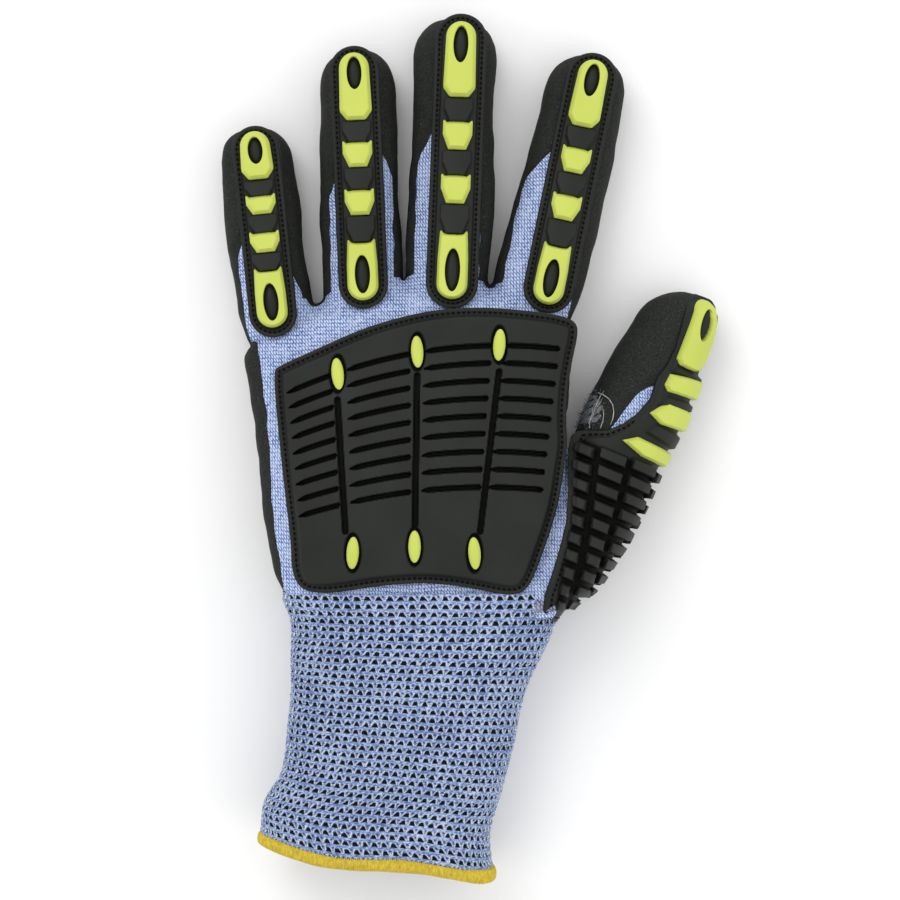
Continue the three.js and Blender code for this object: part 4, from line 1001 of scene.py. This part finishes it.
strips = {
    "little": {"tip": (-49.2, 145.7), "root": (-42.4, 80.6), "width": 14.7},
    "ring": {"tip": (-18.4, 170.3), "root": (-15.0, 89.3), "width": 15.2},
    "middle": {"tip": (15.1, 180.1), "root": (11.7, 89.3), "width": 16.1},
    "index": {"tip": (56.8, 168.4), "root": (40.2, 88.1), "width": 15.8},
}
strip = {
    "flange": 1.5, "panel": 2.3, "scale": 2.3, "loop": 2.5, "flangeWidth": 2.5, "scaleWidth": 9.1, "loopWidth": 9.5,
    "bevel": 1.0, "stitchInset": 1.45, "stitchPitch": 1.55, "foot": -2.0, "mesh": 0.29, "faceMesh": 0.27,
}
layoutKinds = ("tip_loop", "black", "scale_1", "black", "scale_2", "black", "root_loop")
longLayout = (
    (0.03, 0.285), (0.288, 0.372), (0.366, 0.463), (0.466, 0.553), (0.548, 0.645), (0.648, 0.752), (0.741, 0.97),
)
shortLayout = (
    (0.03, 0.255), (0.26, 0.34), (0.33, 0.42), (0.422, 0.513), (0.503, 0.6), (0.603, 0.692), (0.678, 0.955),
)


def stadium(halfWidth, length, count=20):      # full round ends, y from 0 to its length
    turns = np.linspace(0, np.pi, count)
    upper = np.stack([halfWidth * np.cos(turns), length - halfWidth + halfWidth * np.sin(turns)], axis=1)
    lower = np.stack([-halfWidth * np.cos(turns), halfWidth - halfWidth * np.sin(turns)], axis=1)
    return np.vstack([upper, lower])


def scaleOutline(y0, y1, width, horns):      # y0 is nearer the fingertip
    half, length = width / 2, y0 - y1
    foot = [(0.6 * half, y1), (0.92 * half, y1 + 0.42 * length), (half, y1 + 0.52 * length)]
    horned = [(half * 0.94, y0 + 0.25), (half * 0.72, y0 - 0.55), (half * 0.35, y0 - 0.12)]
    right = foot + [(half, y0 - 0.2)] + (horned if horns else [(half * 0.97, y0)])
    return np.array(right + [(-x, y) for x, y in reversed(right)])


def tipLoopOutline(y0, y1, width):
    half = width / 2
    turns = np.linspace(0, np.pi / 2, 8)
    top = [(0.97 * half * math.cos(t), y0 - half + half * math.sin(t)) for t in turns]
    right = [(0.52 * half, y1), (0.64 * half, y1 + 0.2), (1.02 * half, y1 + 2.6), (1.04 * half, y1 + 3.6)] + top
    return np.array(right + [(-x, y) for x, y in reversed(right)])


def rootLoopOutline(y0, y1, width):
    half = width / 2
    turns = np.linspace(-np.pi / 2, 0, 8)
    foot = [(half * math.cos(t), y1 + half + half * math.sin(t)) for t in turns]
    side = [(half * 0.99, y1 + 0.6 * (y0 - y1)), (half * 0.9, y0 - 0.2)]
    horn = [(half * 0.84, y0 + 0.4), (half * 0.6, y0 - 0.7), (half * 0.3, y0 - 0.85)]
    right = foot + side + horn
    return np.array(right + [(-x, y) for x, y in reversed(right)])


def oval(x, y, centreX, centreY, width, length):      # one on the edge, zero in the middle
    return np.hypot((x - centreX) / (width / 2), (y - centreY) / (length / 2))


def ovalDistance(x, y, centreX, centreY, width, length):
    ring = oval(x, y, centreX, centreY, width, length)
    away = np.hypot((x - centreX) / (width / 2) ** 2, (y - centreY) / (length / 2) ** 2)
    slope = away / np.maximum(ring, 1e-6)
    return (1 - ring) / np.maximum(slope, 1e-6)


def holeOf(kind, start, end):
    length = start - end
    if kind == "tip_loop":
        short = length < 18
        middle, size = (0.59, 0.57) if short else (0.69, 0.49)
        return {"centre": end + middle * length, "width": 4.6, "length": size * length}
    return {"centre": end + 0.43 * length, "width": 4.7, "length": 0.64 * length}


def ridge(distance, bevel, full):
    return full * np.clip(distance / bevel, 0, 1)


def stripCavityShade(x, y, depth):      # painted shade along the stitches, at the panel's step and at the outer edge
    line = 0.12 * np.exp(-(((depth - strip["stitchInset"]) / 0.3) ** 2))
    step = 0.75 * np.exp(-(((depth - strip["flangeWidth"] + 0.1) / 0.24) ** 2))
    return line + step + 0.4 * smoothStep(0.35, 0.0, depth)


def buildStrip(name, place):
    tip, root = np.array(place["tip"]), np.array(place["root"])
    length = float(np.linalg.norm(tip - root))
    half = place["width"] / 2
    drape = FlatDrape(root, tip - root, (-half - 2, -3), (half + 2, length + 3))
    outline = stadium(half, length)
    shapes = []
    for kind, (nearTip, nearRoot) in zip(layoutKinds, shortLayout if name == "little" else longLayout):
        start, end = length * (1 - nearTip), length * (1 - nearRoot)
        if kind == "tip_loop":
            polygon = tipLoopOutline(start, end, strip["loopWidth"])
        elif kind == "root_loop":
            polygon = rootLoopOutline(start, end, strip["loopWidth"])
        else:
            polygon = scaleOutline(start, end, strip["scaleWidth"], kind != "black")
        shapes.append((kind, start, end, polygon))

    def baseHeight(x, y, depth):
        z = strip["flange"] - rounded(depth, 0.5)
        inner = strip["flangeWidth"]
        z = z + (strip["panel"] - strip["flange"]) * smoothStep(inner - 0.5, inner + 0.1, depth)
        groove = np.exp(-(((depth - strip["stitchInset"]) / 0.34) ** 2))
        z = z - 0.2 * groove
        for kind, start, end, polygon in shapes:
            if kind == "black":
                d = polygonDistance(x, y, polygon)
                down = np.clip((start - y) / (start - end), 0, 1)
                full = strip["scale"] * (0.55 + 0.4 * down) * (1 - 0.25 * (x / (strip["scaleWidth"] / 2)) ** 2)
                raised = np.minimum(ridge(d, 0.75, strip["scale"] * 1.3), full)
                z = np.maximum(z, strip["panel"] + raised - 3 * (d <= 0))
            elif kind.endswith("loop"):
                hole = holeOf(kind, start, end)
                ring = oval(x, y, 0, hole["centre"], hole["width"] - 0.7, hole["length"] - 1.2)
                dome = 1.75 * np.sqrt(np.maximum(1 - ring**2, 0))
                z = np.maximum(z, strip["panel"] + dome - 3 * (ring >= 1))
        return z

    reliefPiece(
        "guard_" + name + "_strip", drape, lambda x, y: polygonDistance(x, y, outline), baseHeight,
        ((-half - 0.5, -0.5), (half + 0.5, length + 0.5)), strip["mesh"], strip["foot"],
        blackLook, nodes=["guard_" + name], cavityShade=stripCavityShade,
    )
    for kind, start, end, polygon in shapes:
        if kind == "black":
            continue
        isLoop = kind.endswith("loop")
        hole = holeOf(kind, start, end) if isLoop else None

        def distance(x, y, polygon=polygon, hole=hole):
            d = polygonDistance(x, y, polygon)
            if hole is None:
                return d
            return np.minimum(d, -ovalDistance(x, y, 0, hole["centre"], hole["width"], hole["length"]))

        def height(x, y, depth, start=start, end=end, isLoop=isLoop, polygon=polygon, kind=kind):
            d = polygonDistance(x, y, polygon)
            across = 1 - 0.16 * (x / (strip["scaleWidth"] / 2)) ** 2
            down = np.clip((start - y) / (start - end), 0, 1)
            full = strip["loop"] if isLoop else strip["scale"] * (0.8 + 0.25 * down)
            foot = 0.7 if kind == "root_loop" else strip["bevel"]
            side = np.minimum(1.0, 0.45 + 0.55 * d / foot)
            return strip["panel"] + full * across * side - 0.4 * rounded(depth, 0.35)

        reliefPiece(
            "green_" + name + "_" + kind + "_face", drape, distance, height,
            ((-half, end - 0.6), (half, start + 0.9)), strip["faceMesh"], strip["panel"] - 0.5,
            greenLook, nodes=["green_" + name + "_" + kind],
        )
    a, b = stitchLine(drape, outline, strip["stitchInset"], strip["stitchPitch"], strip["flange"] + 0.02)
    stitchStarts.append(a)
    stitchEnds.append(b)


for name, place in strips.items():
    print("strip", name)
    buildStrip(name, place)


# The plate on the back of the hand

plate = {
    "flange": 1.7, "field": 3.5, "flangeWidth": 2.7, "stitchInset": 1.45, "stitchPitch": 1.6,
    "channel": 1.1, "channelDepth": 1.7, "foot": -2.6, "mesh": 0.32,
}
plateOutline = chaikin([
    (-46.3, 24.0), (-44.6, 25.6), (-33.8, 30.4), (-20.9, 36.3), (-8.1, 40.4), (4.8, 43.0), (17.7, 43.5),
    (30.5, 42.5), (41.5, 40.9), (45.9, 38.9), (46.4, 35.2), (44.6, 27.3), (43.1, 17.7), (42.7, 8.1),
    (43.2, 1.6), (42.1, -4.9), (40.8, -14.6), (38.1, -24.2), (35.7, -30.6), (33.7, -36.3), (30.6, -42.6),
    (25.4, -44.0), (17.7, -42.3), (8.1, -40.6), (-1.6, -39.9), (-14.6, -40.9), (-24.2, -42.6),
    (-31.9, -43.4), (-38.0, -42.2), (-40.6, -37.0), (-40.9, -27.3), (-42.5, -14.6), (-44.0, -1.5), (-45.3, 11.2),
], 2)
plateBeads = [(-26.6, 23.1), (-2.5, 29.8), (22.4, 31.9), (-21.8, -30.9), (-3.2, -29.0), (14.8, -31.0)]
plateChannels = [
    ((-26.6, 15.2), (-24.0, -24.5)), ((-2.5, 22.6), (-3.1, -22.6)), ((22.3, 23.8), (16.5, -24.5)),
]
grooveColumns = [
    (-41.9, -28.3, -38.2, -25.6), (-23.9, -4.5, -22.6, -4.2), (-0.4, 20.4, -1.3, 16.9), (23.6, 40.8, 18.8, 35.6),
]
grooveLines = {
    "rows": 9, "apex": (31.7, -11.2), "bow": (0.0034, 0.0028), "middle": (23.0, 18.0), "half": 0.95, "depth": 2.0,
}
bead = {"width": 3.7, "length": 9.6, "wellWidth": 5.2, "wellLength": 12.2, "mesh": 0.24, "tilts": (6, 3, -4, -3, 0, 4)}


def segmentDistance(x, y, a, b):
    ex, ey = b[0] - a[0], b[1] - a[1]
    t = np.clip(((x - a[0]) * ex + (y - a[1]) * ey) / (ex * ex + ey * ey), 0, 1)
    return np.hypot(x - a[0] - t * ex, y - a[1] - t * ey)


def plateCut(x, y, depth):      # depth of grooves, channels and wells
    cut = np.zeros(np.shape(x))
    for row in range(grooveLines["rows"]):
        share = row / (grooveLines["rows"] - 1)
        pairs = (grooveLines[k] for k in ("apex", "bow", "middle"))
        apex, bow, middle = (first + (last - first) * share for first, last in pairs)
        line = apex - bow * (x - middle) ** 2
        for left, right, lastLeft, lastRight in grooveColumns:
            a, b = left + (lastLeft - left) * share, right + (lastRight - right) * share
            taper = np.clip((x - a) / 2.4, 0, 1) ** 0.6 * np.clip((b - x) / 0.5, 0, 1)
            width = np.maximum(grooveLines["half"] * taper, 1e-3)
            shape = np.minimum(1, 1.8 * np.clip(1 - np.abs(y - line) / width, 0, 1))
            cut = np.maximum(cut, grooveLines["depth"] * shape * (taper > 0))
    for a, b in plateChannels:
        d = segmentDistance(x, y, a, b)
        cut = np.maximum(cut, plate["channelDepth"] * smoothStep(plate["channel"], plate["channel"] - 0.5, d))
    for bx, by in plateBeads:
        well = ovalDistance(x, y, bx, by, bead["wellWidth"], bead["wellLength"])
        cut = np.maximum(cut, 1.5 * smoothStep(-0.25, 0.45, well))
    return cut * smoothStep(2.2, 3.2, depth)


def plateHeight(x, y, depth):
    z = plate["flange"] - rounded(depth, 0.5) - 0.2 * np.exp(-(((depth - plate["stitchInset"]) / 0.34) ** 2))
    inner = plate["flangeWidth"]
    z = z + (plate["field"] - plate["flange"]) * smoothStep(inner - 0.9, inner + 0.7, depth)
    return z - plateCut(x, y, depth)


# painted shade in the grooves, channels and wells, along the stitches, at the flange step and at the outer edge
def plateCavityShade(x, y, depth):
    line = 0.15 * np.exp(-(((depth - plate["stitchInset"]) / 0.3) ** 2)) + 0.4 * smoothStep(0.35, 0.0, depth)
    step = 0.4 * np.exp(-(((depth - plate["flangeWidth"] + 0.2) / 0.4) ** 2))
    return np.minimum(1, 0.85 * smoothStep(0.1, 1.5, plateCut(x, y, depth)) + line + step)


print("plate")
plateDrape = FlatDrape(plateMiddle, (0, 1), (-49, -47), (49, 47), cell=2.0, drop=9.0, passes=8)
reliefPiece(
    "back_plate_relief", plateDrape, lambda x, y: polygonDistance(x, y, plateOutline), plateHeight,
    ((-47, -45), (47, 45)), plate["mesh"], plate["foot"],
    blackLook, nodes=["back_plate"], sharp=38, cavityShade=plateCavityShade,
)
for number, (bx, by) in enumerate(plateBeads):
    turn = math.radians(bead["tilts"][number])

    def beadPlace(x, y, bx=bx, by=by, turn=turn):
        dx, dy = x - bx, y - by
        return dx * math.cos(turn) + dy * math.sin(turn), dy * math.cos(turn) - dx * math.sin(turn)

    def beadDistance(x, y):
        px, py = beadPlace(x, y)
        return ovalDistance(px, py, 0, 0, bead["width"], bead["length"])

    def beadHeight(x, y, depth):
        px, py = beadPlace(x, y)
        ring = oval(px, py, 0, 0, 3.9, 10.0)
        return plate["field"] - 0.3 + 1.5 * np.sqrt(np.maximum(1 - ring**2, 0.0))

    reliefPiece(
        "plate_bead_" + str(number + 1) + "_dome", plateDrape, beadDistance, beadHeight,
        ((bx - 3.5, by - 5.5), (bx + 3.5, by + 5.5)), bead["mesh"], plate["field"] - 1.6,
        greenLook, nodes=["plate_bead_" + str(number + 1)], sharp=50,
    )
a, b = stitchLine(plateDrape, plateOutline, plate["stitchInset"], plate["stitchPitch"], plate["flange"] + 0.02)
stitchStarts.append(a)
stitchEnds.append(b)


# The thumb guard

print("thumb guard")
radius = 15.0
thumb = limbs["thumb"]
# Outlines here are seen from straight above
guardTrace = [
    (88.6, 93.3), (86.1, 91.8), (84.2, 89.6), (82.7, 83.4), (80.8, 77.2), (78.3, 72.2), (74.9, 67.9), (73.1, 61.7),
    (68.7, 57.1), (64.1, 54), (59.4, 52.1), (54.8, 52.1), (50.1, 52.1), (48, 50.5), (47, 46.2), (47, 33.5),
    (46.4, 24.2), (44.5, 16.4), (42.1, 8.7), (39.9, 2.5), (39.3, -2.5), (42.1, -6.2), (47.3, -8), (54.2, -8.7),
    (59.7, -4.3), (65.3, 5), (70.9, 14.9), (75.2, 24.2), (77.7, 31.9), (80.8, 39.7), (83.9, 47.4), (88.3, 56.8),
    (90.7, 64.5), (93.2, 70.1), (95.1, 78.4), (95.7, 84.7), (95.2, 89.6), (93.2, 92.4), (91, 93.3),
]
bandTraces = [
    [(63.8, 49), (69, 49.8), (80.2, 44.7), (83.3, 43.4), (82.7, 38.1), (79.3, 39.7), (70.3, 43.7)],
    [(72.8, 57.1), (78.8, 60.3), (84.9, 58), (87.6, 56.9), (87, 50.1), (83.9, 51.2), (76.5, 53.5)],
    [(77.7, 65.7), (79.6, 69), (88, 67.6), (90.7, 67), (90.1, 60.2), (87.2, 61.1), (78.8, 63.6)],
]
blackTraces = [
    [(70.6, 51.5), (74.9, 53.8), (83.9, 49.9), (87, 48.7), (85.2, 43.7), (81.8, 45.1)],
    [(74.9, 59.5), (78.3, 62.5), (87, 60), (89.8, 59.2), (88.6, 56.1), (85.5, 57.2)],
    [(79.4, 69.5), (81.6, 71.6), (89.2, 68.7), (92, 67.9), (91.4, 65.7), (88.4, 66.4)],
]
loopTrace = [
    (81.3, 72.4), (83.6, 77.8), (86.1, 85), (88.1, 90.1), (89.5, 91.6), (91.5, 92.1), (93.4, 91.3), (94.5, 89),
    (94.5, 83.9), (92.6, 76.9), (89.5, 69.8), (87, 69.8),
]
loopHole = {"centre": (90.7, 84.3), "half": (1.75, 5.0), "tilt": 14.0}
thumbDrape = RoundDrape(thumb, (-14, -44), (46, 78), radius)


def traced(outline, smooth=0, level=1.5):      # an outline from above laid on the drape
    outline = np.asarray(outline, float)
    fine = [a + (b - a) * t for a, b in zip(outline, np.roll(outline, -1, axis=0)) for t in np.arange(4) / 4]
    placed = thumbDrape.fromAbove(fine, level)
    return chaikin(placed, smooth) if smooth else placed


guardOutline = traced(guardTrace, 1)
bandOutlines = [traced(trace, level=4.0) for trace in bandTraces]
blackOutlines = [traced(trace, level=3.4) for trace in blackTraces]
loopOutline = traced(chaikin(loopTrace, 1), level=4.0)
holeTurns = np.linspace(0, 2 * np.pi, 28, endpoint=False)
holeTilt = math.radians(loopHole["tilt"])
holeAxis = np.array([math.sin(holeTilt), math.cos(holeTilt)]) * loopHole["half"][1]
holeSide = np.array([math.cos(holeTilt), -math.sin(holeTilt)]) * loopHole["half"][0]
holeTrace = [np.array(loopHole["centre"]) + holeSide * math.cos(t) + holeAxis * math.sin(t) for t in holeTurns]
holeOutline = thumbDrape.fromAbove(holeTrace, 4.0)
pad = {
    "flange": 1.4, "panel": 1.9, "band": 2.2, "foot": -2.4, "mesh": 0.33, "faceMesh": 0.27,
    "stitchInset": 1.4, "stitchPitch": 1.6, "block": 2.5, "pitch": 5.2, "gap": 1.5, "first": -34.0, "rows": 10,
    "gaps": (-0.07, 0.267, 0.583, 0.843), "halfGap": 0.5, "stagger": (-0.8, -0.8, 0.4, 1.0, 0.0),
    "leftEdge": ((-33, -29.4, -17.1, -2.4, 14.8, 20), (-1, -1.85, -4.6, -9.5, -15, -16)),
    "rightEdge": ((-33.3, -22, -7.2, 5.5, 15.6, 20), (11.3, 14.2, 15.1, 15.8, 15.6, 15)),
}


def blockHeight(x, y):
    left, right = pchip(*pad["leftEdge"], y), pchip(*pad["rightEdge"], y)
    seen = thumbDrape.unfolded(x, y)
    across = (seen - left) / (right - left)
    slope = np.maximum((thumbDrape.unfolded(x - 0.3, y) - thumbDrape.unfolded(x + 0.3, y)) / 0.6, 0.12)
    away = np.min([np.abs(across - gap) for gap in pad["gaps"]], axis=0) * (right - left) / slope - pad["halfGap"]
    away = np.where(across < pad["gaps"][0], -1, away)
    stagger = np.array(pad["stagger"])[np.searchsorted(pad["gaps"], across)]
    row = (y - stagger - pad["first"]) / pad["pitch"]
    slot = (row % 1.0) * pad["pitch"]
    alongEdge = np.minimum(slot, pad["pitch"] - pad["gap"] - slot)
    alongEdge = np.where((row < 0) | (row > pad["rows"]), -1, alongEdge)
    return pad["block"] * np.clip(np.minimum(away, alongEdge) / 0.5, 0, 1)


def guardHeight(x, y, depth):
    z = pad["flange"] - rounded(depth, 0.5)
    isRight = thumbDrape.unfolded(x, y) > 0.5 * (pchip(*pad["leftEdge"], y) + pchip(*pad["rightEdge"], y))
    channel = np.exp(-(((depth - pad["stitchInset"]) / 0.34) ** 2)) * ~isRight
    z = z + (pad["panel"] - pad["flange"]) * smoothStep(2.0, 2.6, depth) - 0.2 * channel
    keep = np.where(isRight, 1.0, smoothStep(0.9, 1.5, depth))
    z = z + blockHeight(x, y) * keep
    for outline in blackOutlines:
        d = polygonDistance(x, y, outline)
        z = np.maximum(z, pad["panel"] + ridge(d, 0.8, 1.6) - 3 * (d <= 0))
    dome = np.clip(polygonDistance(x, y, holeOutline) / 1.2, -1, 1)
    return np.maximum(z, pad["panel"] + 1.5 * np.sqrt(np.maximum(1 - (1 - dome) ** 2, 0)) - 3 * (dome <= 0))


# painted shade in the gaps between the blocks, along the stitches on the left and at the outer edge
def guardCavityShade(x, y, depth):
    left, right = pchip(*pad["leftEdge"], y), pchip(*pad["rightEdge"], y)
    across = (thumbDrape.unfolded(x, y) - left) / (right - left)
    among = smoothStep(-0.05, 0.0, across) * smoothStep(pad["first"], pad["first"] + 1.5, y)
    among = among * smoothStep(17.5, 16.0, y)
    gaps = 0.9 * among * smoothStep(1.4, 0.3, blockHeight(x, y)) * smoothStep(1.0, 1.6, depth)
    line = 0.15 * np.exp(-(((depth - pad["stitchInset"]) / 0.3) ** 2)) * (across < 0.5)
    line = line + 0.4 * smoothStep(0.35, 0.0, depth)
    return np.minimum(1, np.maximum(gaps, line))


reliefPiece(
    "thumb_guard_relief", thumbDrape, lambda x, y: polygonDistance(x, y, guardOutline), guardHeight,
    ((-12, -42), (45, 76)), pad["mesh"], pad["foot"],
    blackLook, nodes=["thumb_guard"], sharp=38, cavityShade=guardCavityShade,
)
for number, polygon in enumerate(bandOutlines):
    reliefPiece(
        "green_band_" + str(number + 1), thumbDrape, lambda x, y, p=polygon: polygonDistance(x, y, p),
        lambda x, y, depth: pad["panel"] + pad["band"] * np.minimum(1, 0.4 + 0.6 * depth / 0.8),
        (polygon.min(axis=0) - 0.5, polygon.max(axis=0) + 0.5),
        pad["faceMesh"], pad["panel"] - 0.5, greenLook,
        nodes=["green_thumb_band_" + str(number + 1)],
    )


def loopDistance(x, y):
    return np.minimum(polygonDistance(x, y, loopOutline), -polygonDistance(x, y, holeOutline) - 0.25)


def loopHeight(x, y, depth):
    side = np.minimum(1, 0.4 + 0.6 * polygonDistance(x, y, loopOutline) / 0.8)
    return pad["panel"] + pad["band"] * side - 0.3 * rounded(depth, 0.35)


reliefPiece(
    "green_thumb_loop", thumbDrape, loopDistance, loopHeight,
    (loopOutline.min(axis=0) - 0.5, loopOutline.max(axis=0) + 0.5), pad["faceMesh"], pad["panel"] - 0.5,
    greenLook, nodes=["green_thumb_tip_loop"],
)
places, direction = outlinePath(guardOutline, pad["stitchInset"], pad["stitchPitch"])
middleLine = 0.5 * (pchip(*pad["leftEdge"], places[:, 1]) + pchip(*pad["rightEdge"], places[:, 1]))
onLeft = thumbDrape.unfolded(places[:, 0], places[:, 1]) < middleLine
places, direction = places[onLeft], direction[onLeft]
level = np.full(len(places), pad["flange"] + 0.02)
a, b = places - 0.52 * direction, places + 0.52 * direction
stitchStarts.append(thumbDrape.carry(a[:, 0], a[:, 1], level))
stitchEnds.append(thumbDrape.carry(b[:, 0], b[:, 1], level))
capsules("stitches", np.vstack(stitchStarts), np.vstack(stitchEnds), 0.29, stitchLook)


# The reinforcement at the thumb's crotch, with loose fibres

print("patch")
patch = {"centre": (56.0, 57.0, 17.0), "radius": (5.6, 7.4, 9.0), "thick": 1.1, "fibres": 300}
offset = (skinPoints - np.array(patch["centre"])) / np.array(patch["radius"])
patchField = 1 - np.linalg.norm(offset, axis=1) + 0.08 * softNoise(*skinPoints.T, 6, 31)
patchBase, patchTriangles, patchDepth = clipMesh(skinSheet, skinTriangles, patchField)
patchNormals = patchBase[:, 3:] / np.maximum(np.linalg.norm(patchBase[:, 3:], axis=1, keepdims=True), 1e-9)
patchBase = patchBase[:, :3]
rise = 0.4 + (patch["thick"] - 0.4) * smoothStep(0, 0.3, patchDepth) + 0.2 * softNoise(*patchBase.T, 2.2, 33)
patchTop = patchBase + patchNormals * rise[:, None]
makeObject("crotch_patch", patchTop, patchTriangles, fuzzLook, nodes=["thumb_crotch_patch"])


def strands(name, lines, thick, material):      # thin tapering fibres as one mesh
    points, faces, sides = [], [], 3
    for line in lines:
        base = len(points)
        line = np.asarray(line)
        for i, centre in enumerate(line):
            ahead = line[min(i + 1, len(line) - 1)] - line[max(i - 1, 0)]
            ahead = ahead / max(np.linalg.norm(ahead), 1e-9)
            first = np.cross(ahead, [0.3, 0.1, 1.0])
            first /= max(np.linalg.norm(first), 1e-9)
            second = np.cross(ahead, first)
            swell = thick * (1.0 if i < len(line) - 1 else 0.3)
            for k in range(sides):
                turn = 2 * math.pi * k / sides
                points.append(centre + swell * (math.cos(turn) * first + math.sin(turn) * second))
        for r in range(len(line) - 1):
            for k in range(sides):
                a, b = base + r * sides + k, base + r * sides + (k + 1) % sides
                faces.append((a, b, b + sides, a + sides))
    return makeObject(name, np.array(points), faces, material)


chosen = rng.choice(len(patchBase), patch["fibres"])
fibres = []
for i in chosen:
    start = patchBase[i] + patchNormals[i] * rise[i]
    direction = patchNormals[i] + rng.normal(size=3) * 0.7
    direction /= np.linalg.norm(direction)
    curl = rng.normal(size=3) * 0.5
    fibres.append([start + direction * t * 1.1 + curl * t * t * 0.8 for t in np.linspace(0, 1, 5)])
strands("crotch_fibres", fibres, 0.06, fuzzLook)


def onGlove(x, y, lift):      # the place over the glove at x and y
    hit = seeker.ray_cast(Vector((x, y, 90.0)), Vector((0, 0, -1)))[0]
    return np.array([x, y, (hit.z if hit is not None else 8.0) + lift])


looseTraces = [
    [(57.2, 63.6), (58.6, 62.9), (60.2, 61.6), (61.3, 59.8), (61.6, 57.6), (61.2, 55.4), (60.4, 53.6)],
    [(55.4, 57.0), (56.1, 59.0), (57.0, 61.2), (57.9, 62.8), (59.0, 64.2)],
    [(53.9, 54.0), (55.2, 56.2), (56.0, 58.4), (57.6, 60.4), (58.4, 62.0)],
    [(57.4, 52.6), (58.2, 54.8), (58.5, 57.2), (58.2, 59.6)],
    [(54.2, 52.6), (54.4, 55.0), (55.3, 57.6), (55.2, 59.4)],
]
looseLines = [
    [onGlove(x, y, 1.6 + 0.5 * math.sin(i * 1.3)) for i, (x, y) in enumerate(trace)] for trace in looseTraces
]
strands("loose_threads", looseLines, 0.13, looseLook)


# Floor, light and camera

print("stage")
ground = {"half": 3, "level": -0.0006, "paint": (0.86, 0.86, 0.86, 1)}
floorMesh = bpy.data.meshes.new("floor")
half, level = ground["half"], ground["level"]
floorCorners = [(-half, -half, level), (half, -half, level), (half, half, level), (-half, half, level)]
floorMesh.from_pydata(floorCorners, [], [(0, 1, 2, 3)])
floorObject = bpy.data.objects.new("floor", floorMesh)
bpy.context.scene.collection.objects.link(floorObject)
floorShader = Shader("floor_paint")
floorShader.finish("Base Color", ground["paint"])
floorShader.finish("Roughness", 0.9)
floorShader.finish("Specular IOR Level", 0.1)
floorMesh.materials.append(floorShader.material)


def areaLight(name, place, aim, size, power):
    light = bpy.data.lights.new(name, "AREA")
    light.energy = power
    light.size = size
    holder = bpy.data.objects.new(name, light)
    holder.location = place
    holder.rotation_euler = (Vector(aim) - Vector(place)).to_track_quat("-Z", "Y").to_euler()
    bpy.context.scene.collection.objects.link(holder)


lights = {
    "key": {"place": (-0.45, 0.75, 1.0), "size": 0.7, "power": 4.8},
    "fill": {"place": (0.9, -0.3, 0.9), "size": 1.0, "power": 2.0},
}
skyStrength = 1.08
for name, light in lights.items():
    areaLight(name, light["place"], (0, 0, 0), light["size"], light["power"])
world = bpy.data.worlds.new("studio")
world.use_nodes = True
world.node_tree.nodes["Background"].inputs["Color"].default_value = (1, 1, 1, 1)
world.node_tree.nodes["Background"].inputs["Strength"].default_value = skyStrength
bpy.context.scene.world = world
bpy.context.scene.view_settings.view_transform = "Standard"

view = {"lens": 100, "sensor": 36, "middle": (11.38, 45.9), "height": 0.792}
cameraData = bpy.data.cameras.new("camera")
cameraData.lens = view["lens"]
cameraData.sensor_width = view["sensor"]
camera = bpy.data.objects.new("camera", cameraData)
aimX, aimY = (view["middle"][0] + shift[0]) / 1000, (view["middle"][1] + shift[1]) / 1000
camera.location = (aimX, aimY, view["height"])
bpy.context.scene.collection.objects.link(camera)
bpy.context.scene.camera = camera
